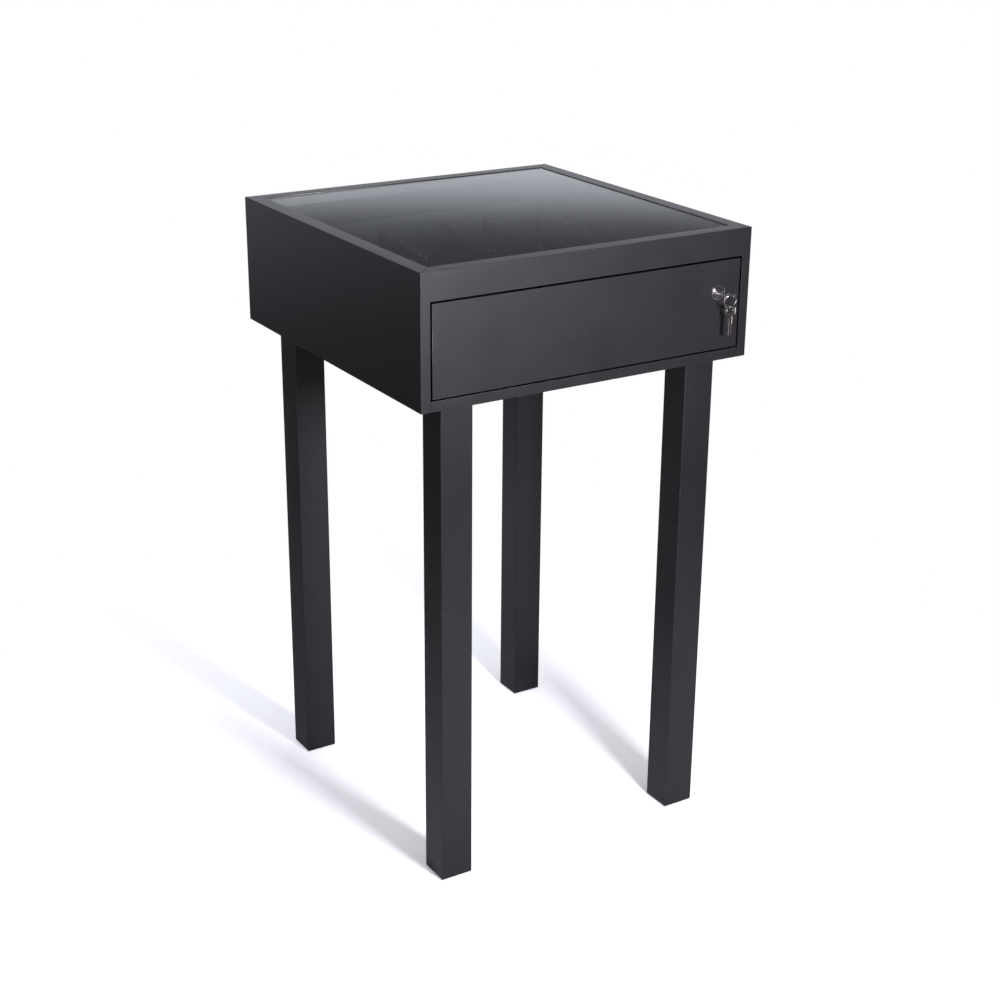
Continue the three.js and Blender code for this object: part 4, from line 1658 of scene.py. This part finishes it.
    def join_turns(self, ring: Object, centre: Vector, sides: int) -> None:
        """Bridges the end of the ring's first turn to the start of its second.

        Args:
            ring: The two turns as one mesh.
            centre: The ring's middle.
            sides: Corners of the wire's section.
        """
        near_start = self.ring_turn / self.ring_steps
        with Bench.editing(ring):
            bpy.ops.mesh.select_mode(type="FACE")
            mesh = bmesh.from_edit_mesh(ring.data)
            for face in mesh.faces:
                middle = face.calc_center_median() - centre
                angle = math.degrees(math.atan2(middle.z, middle.x))
                at_start = abs(angle) < near_start
                face.select_set(len(face.verts) == sides and at_start == (middle.y > 0))
            bmesh.update_edit_mesh(ring.data)
            bpy.ops.mesh.bridge_edge_loops(number_cuts=3)
            Bench.close()


@dataclass
class DisplayRacks(Assembly):
    """Two notched racks that stand on the felt."""

    edge: float = 0.7 * MM
    notch_edge: float = 0.5 * MM
    slope: float = 5.5
    count: int = 12
    pitch: float = 18 * MM
    radius: float = 6.5 * MM
    depth: float = 3.6 * MM
    steps: int = 12

    def build(self) -> None:
        """Builds one cheek and one spacer and copies them."""
        racks = ("left", "right")
        cheeks = [f"{rack}_rack_cheek_{side}" for rack in racks for side in ("left", "right")]
        self.spread(self.cheek(cheeks[0]), cheeks)
        bars = [f"{rack}_rack_spacer_{end}" for rack in racks for end in ("front", "back")]
        spacer = Bench.block(bars[0] + "_bar", *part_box(bars[0]))
        Bench.ease(spacer, self.edge)
        Bench.polish(spacer)
        self.spread(spacer, bars)

    def spread(self, first: Object, nodes: Sequence[str]) -> None:
        """Copies a piece to the places of its nodes and dresses all of them.

        Args:
            first: The piece in the first node's place.
            nodes: The nodes, the first one first.
        """
        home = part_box(nodes[0])[0]
        for node in nodes[1:]:
            twin = Bench.copy(first, node + "_bar", Matrix.Translation(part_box(node)[0] - home))
            self.dress(twin, Slot.BOX, Body.DRAWER, node)
        self.dress(first, Slot.BOX, Body.DRAWER, nodes[0])

    def cheek(self, node: str) -> Object:
        """Cuts a cheek with its row of notches along the sloped top.

        Args:
            node: The CAD node that it stands for.

        Returns:
            The cheek.
        """
        low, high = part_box(node)
        slope = math.radians(self.slope)
        length = (high.y - low.y) / math.cos(slope)
        margin = (length - (self.count - 1) * self.pitch) / 2
        opening = math.acos(1 - self.depth / self.radius)
        top = []
        for notch in range(self.count):
            middle = margin + notch * self.pitch
            for step in range(self.steps + 1):
                angle = opening * (2 * step / self.steps - 1)
                rise = self.radius * (1 - math.cos(angle)) - self.depth
                top.append((middle + self.radius * math.sin(angle), rise))
        top.append((length, 0))
        points = [Vector((low.x, y, z)) for y, z in ((low.y, low.z), (high.y, low.z), (high.y, high.z))]
        for from_back, above in top:
            y = high.y - from_back * math.cos(slope) - above * math.sin(slope)
            z = high.z - from_back * math.sin(slope) + above * math.cos(slope)
            points.append(Vector((low.x, y, z)))
        cheek = Bench.plate(node + "_bar", points, Vector((high.x - low.x, 0, 0)))
        Bench.ease(cheek, self.notch_edge, segments=2)
        Bench.polish(cheek)
        return cheek


@dataclass(frozen=True)
class SoftLamp:
    """A rectangular lamp of the studio, or a card that shows in shine alone."""

    name: str
    place: Triple
    target: Triple
    size: Span
    watts: float
    card: bool = False

    def hang(self, tint: Colour) -> None:
        """Adds the lamp to the scene, turned to its target.

        Args:
            tint: Colour of its light.
        """
        Bench.clear()
        turn = (Vector(self.target) - Vector(self.place)).to_track_quat("-Z", "Y").to_euler()
        bpy.ops.object.light_add(type="AREA", location=self.place, rotation=turn)
        lamp = bpy.context.object
        lamp.name = self.name
        lamp.data.shape = "RECTANGLE"
        lamp.data.size, lamp.data.size_y = self.size
        lamp.data.energy = self.watts
        lamp.data.color = tint
        lamp.visible_camera = False
        lamp.visible_diffuse = not self.card


@dataclass
class Studio:
    """Pale floor, soft lamps, white surround and the camera."""

    floor_size: float = 60.0
    floor_drop: float = 0.2 * MM
    # Painted falloff of light: for rays other than the camera's, the paper darkens from a lit pool round
    # this middle over this radius.
    lit_pool_middle: Triple = (-0.1, 0.1, 0.0)
    lit_pool_radius: Span = (0.5, 1.6)
    paper: Colour = (0.36, 0.36, 0.385)
    painted_falloff_paper: Colour = (0.05, 0.05, 0.052)
    sweep: Span = (2.4, 4.6)
    sweep_side: Span = (-0.8, 0.4)
    sweep_tint: Colour = (1.02, 0.9, 1.06)
    wedge_start: Span = (0.5, 0.9)
    wedge_end: Span = (1.6, 2.2)
    wedge_side: Span = (-0.05, 0.15)
    wedge_slant: float = 0.5
    wedge_glow: float = 0.22
    apron_end: Span = (-1.9, -1.4)
    apron_side: Span = (-0.6, -0.2)
    apron_glow: float = 1.0
    left_glow: float = 0.3
    # Camera-only floor: painted glow that rises towards the back, and pure white glow beyond a radius.
    shown_radius: Span = (0.55, 1.0)
    shown_paper: Colour = (1.35, 1.35, 1.35)
    shown_glow: Span = (0.2, 0.5)
    shown_tint: Colour = (0.96, 0.98, 1.08)
    shown_span: Span = (-0.2, 0.5)
    backdrop: tuple[Span, ...] = (
        (0.0, 1.0),
        (0.185, 1.0),
        (0.192, 0.88),
        (0.2, 0.68),
        (0.206, 0.48),
        (0.212, 0.28),
        (0.218, 0.16),
        (0.228, 0.085),
        (0.4, 0.055),
        (0.99, 0.055),
    )
    backdrop_tint: Colour = (0.97, 1.0, 1.1)
    backdrop_depth: Span = (-0.1, 0.5)
    backdrop_side: Span = (-0.3, 0.1)
    dim: Colour = (0.1, 0.1, 0.104)
    fill: Colour = (0.08, 0.08, 0.084)
    dome: Colour = (0.5, 0.5, 0.525)
    dome_rise: Span = (0.3, 0.8)
    lamps: tuple[SoftLamp, ...] = (
        SoftLamp("key_softbox", (0.0, -1.5, 1.12), (0.0, 0.0, 0.7), (0.26, 0.26), 27.0),
        SoftLamp("left_card", (-1.4, -1.1, 1.75), (0.2, -0.3, 0.8), (1.3, 1.3), 16.0, card=True),
        SoftLamp("right_card", (2.3, -0.35, 0.45), (0.2, -0.3, 0.8), (0.6, 0.9), 4.0, card=True),
    )
    lamp_tint: Colour = (1.0, 0.965, 1.04)
    camera_place: Triple = (-1.36315, -2.21584, 1.49559)
    camera_turn: Triple = (68.69526, -0.45740, -31.63386)
    lens: float = 64.917
    sensor: float = 36.0
    clip_start: float = 0.05

    def build(self) -> None:
        """Builds the stage, lamps, world and camera."""
        bpy.context.scene.view_settings.view_transform = "Standard"
        self.build_floor()
        for lamp in self.lamps:
            lamp.hang(self.lamp_tint)
        self.build_world()
        self.build_camera()

    def build_floor(self) -> None:
        """Lays the floor: white to the camera by painted glow, with the table's shadow, and a painted
        glowing sweep in reflections.
        """
        Bench.clear()
        bpy.ops.mesh.primitive_plane_add(size=self.floor_size, location=(0, 0, -self.floor_drop))
        floor = Bench.settle("studio_floor")
        material, graph = new_graph("studio_paper")
        camera, mirrored = graph.rays()
        parts = graph.node("SeparateXYZ", Vector=graph.place()).outputs
        # Painted light: to the camera the floor glows, more towards the back, and its paper gives back more
        # light than falls on it, so the shade under the table goes white while the legs' shadows stay,
        # tinted blue.
        strength = graph.span(parts["Y"], *self.shown_span, *self.shown_glow)
        near = graph.row(
            "AddShader",
            graph.row("BsdfDiffuse", Color=self.shown_paper),
            graph.row("Emission", Color=self.shown_tint, Strength=strength),
        )
        away = graph.span(graph.reach((0.0, 0.0, 0.0)), *self.shown_radius)
        seen = graph.stir(away, near, graph.row("Emission"))
        # Painted falloff of light: the paper seen in reflections and by bounced light darkens away from the
        # lit pool.
        falloff = graph.span(graph.reach(self.lit_pool_middle), *self.lit_pool_radius)
        paper = graph.row("BsdfDiffuse", Color=graph.blend(falloff, self.paper, self.painted_falloff_paper))
        glow = graph.math("MULTIPLY", mirrored, self.floor_glow(graph, parts["X"], parts["Y"]))
        other = graph.stir(glow, paper, graph.row("Emission", Color=self.sweep_tint))
        graph.surface(graph.stir(camera, other, seen))
        floor.data.materials.append(material)

    def floor_glow(self, graph: Graph, right: Socket, behind: Socket) -> Socket:
        """Lights the parts of the floor that show in reflections: sweep, wedge and apron.

        Args:
            graph: The floor's graph.
            right: The X coordinate.
            behind: The Y coordinate.

        Returns:
            The glow's strength.
        """
        beside = graph.math("MULTIPLY_ADD", behind, self.wedge_slant, right)
        wedge = graph.math(
            "MULTIPLY",
            graph.span(behind, *self.wedge_start),
            graph.span(behind, *self.wedge_end, 1.0, 0.0),
        )
        wedge = graph.math("MULTIPLY", wedge, graph.span(beside, *self.wedge_side, 0.0, self.wedge_glow))
        sweep = graph.math(
            "MULTIPLY",
            graph.span(behind, *self.sweep),
            graph.span(right, *self.sweep_side, self.left_glow, 1.0),
        )
        apron = graph.math(
            "MULTIPLY",
            graph.span(behind, *self.apron_end, 1.0, 0.0),
            graph.span(right, *self.apron_side, self.apron_glow, 0.0),
        )
        return graph.math("MAXIMUM", apron, graph.math("MAXIMUM", wedge, sweep))

    def build_world(self) -> None:
        """Makes the surround: white to the camera, a low bright backdrop in reflections."""
        world = bpy.data.worlds.new("studio_surround")
        bpy.context.scene.world = world
        world.use_nodes = True
        graph = Graph(world.node_tree)
        camera, mirrored = graph.rays()
        parts = graph.node("SeparateXYZ", Vector=graph.node("TexCoord").outputs["Generated"]).outputs
        height = graph.node("ValToRGB", Fac=parts["Z"])
        ramp = height.color_ramp
        for index, (place, value) in enumerate(self.backdrop):
            stop = ramp.elements[0] if index == 0 else ramp.elements.new(place)
            stop.position = place
            stop.color = (*[value * tint for tint in self.backdrop_tint], 1.0)
        ramp.elements.remove(ramp.elements[-1])
        behind = graph.math(
            "MULTIPLY",
            graph.span(parts["Y"], *self.backdrop_depth),
            graph.span(parts["X"], *self.backdrop_side, self.left_glow, 1.0),
        )
        backdrop = graph.blend(behind, self.dim, height.outputs["Color"])
        dome = graph.blend(graph.span(parts["Z"], *self.dome_rise), self.fill, self.dome)
        colour = graph.blend(camera, graph.blend(mirrored, dome, backdrop), (1.0, 1.0, 1.0))
        graph.surface(graph.row("Background", Color=colour), "OutputWorld")

    def build_camera(self) -> None:
        """Places the camera at the photograph's angle."""
        Bench.clear()
        turn = [math.radians(angle) for angle in self.camera_turn]
        bpy.ops.object.camera_add(location=self.camera_place, rotation=turn)
        camera = bpy.context.object
        camera.name = "photo_camera"
        camera.data.lens = self.lens
        camera.data.sensor_width = self.sensor
        camera.data.sensor_fit = "HORIZONTAL"
        camera.data.clip_start = self.clip_start
        bpy.context.scene.camera = camera


def main() -> None:
    """Builds the studio and the table's sub-assemblies in order."""
    logging.basicConfig(level=logging.INFO, format="%(name)s: %(message)s")
    Bench.clear()
    Studio().build()
    palette = Palette()
    for kind in (CaseBoards, TopFrame, Legs, DrawerBox, DrawerSlides, CamLock, KeySet, DisplayRacks):
        kind(palette).build()
        LOG.info("%s done", kind.__name__)
    Bench.clear()


if __name__ == "__main__":
    main()
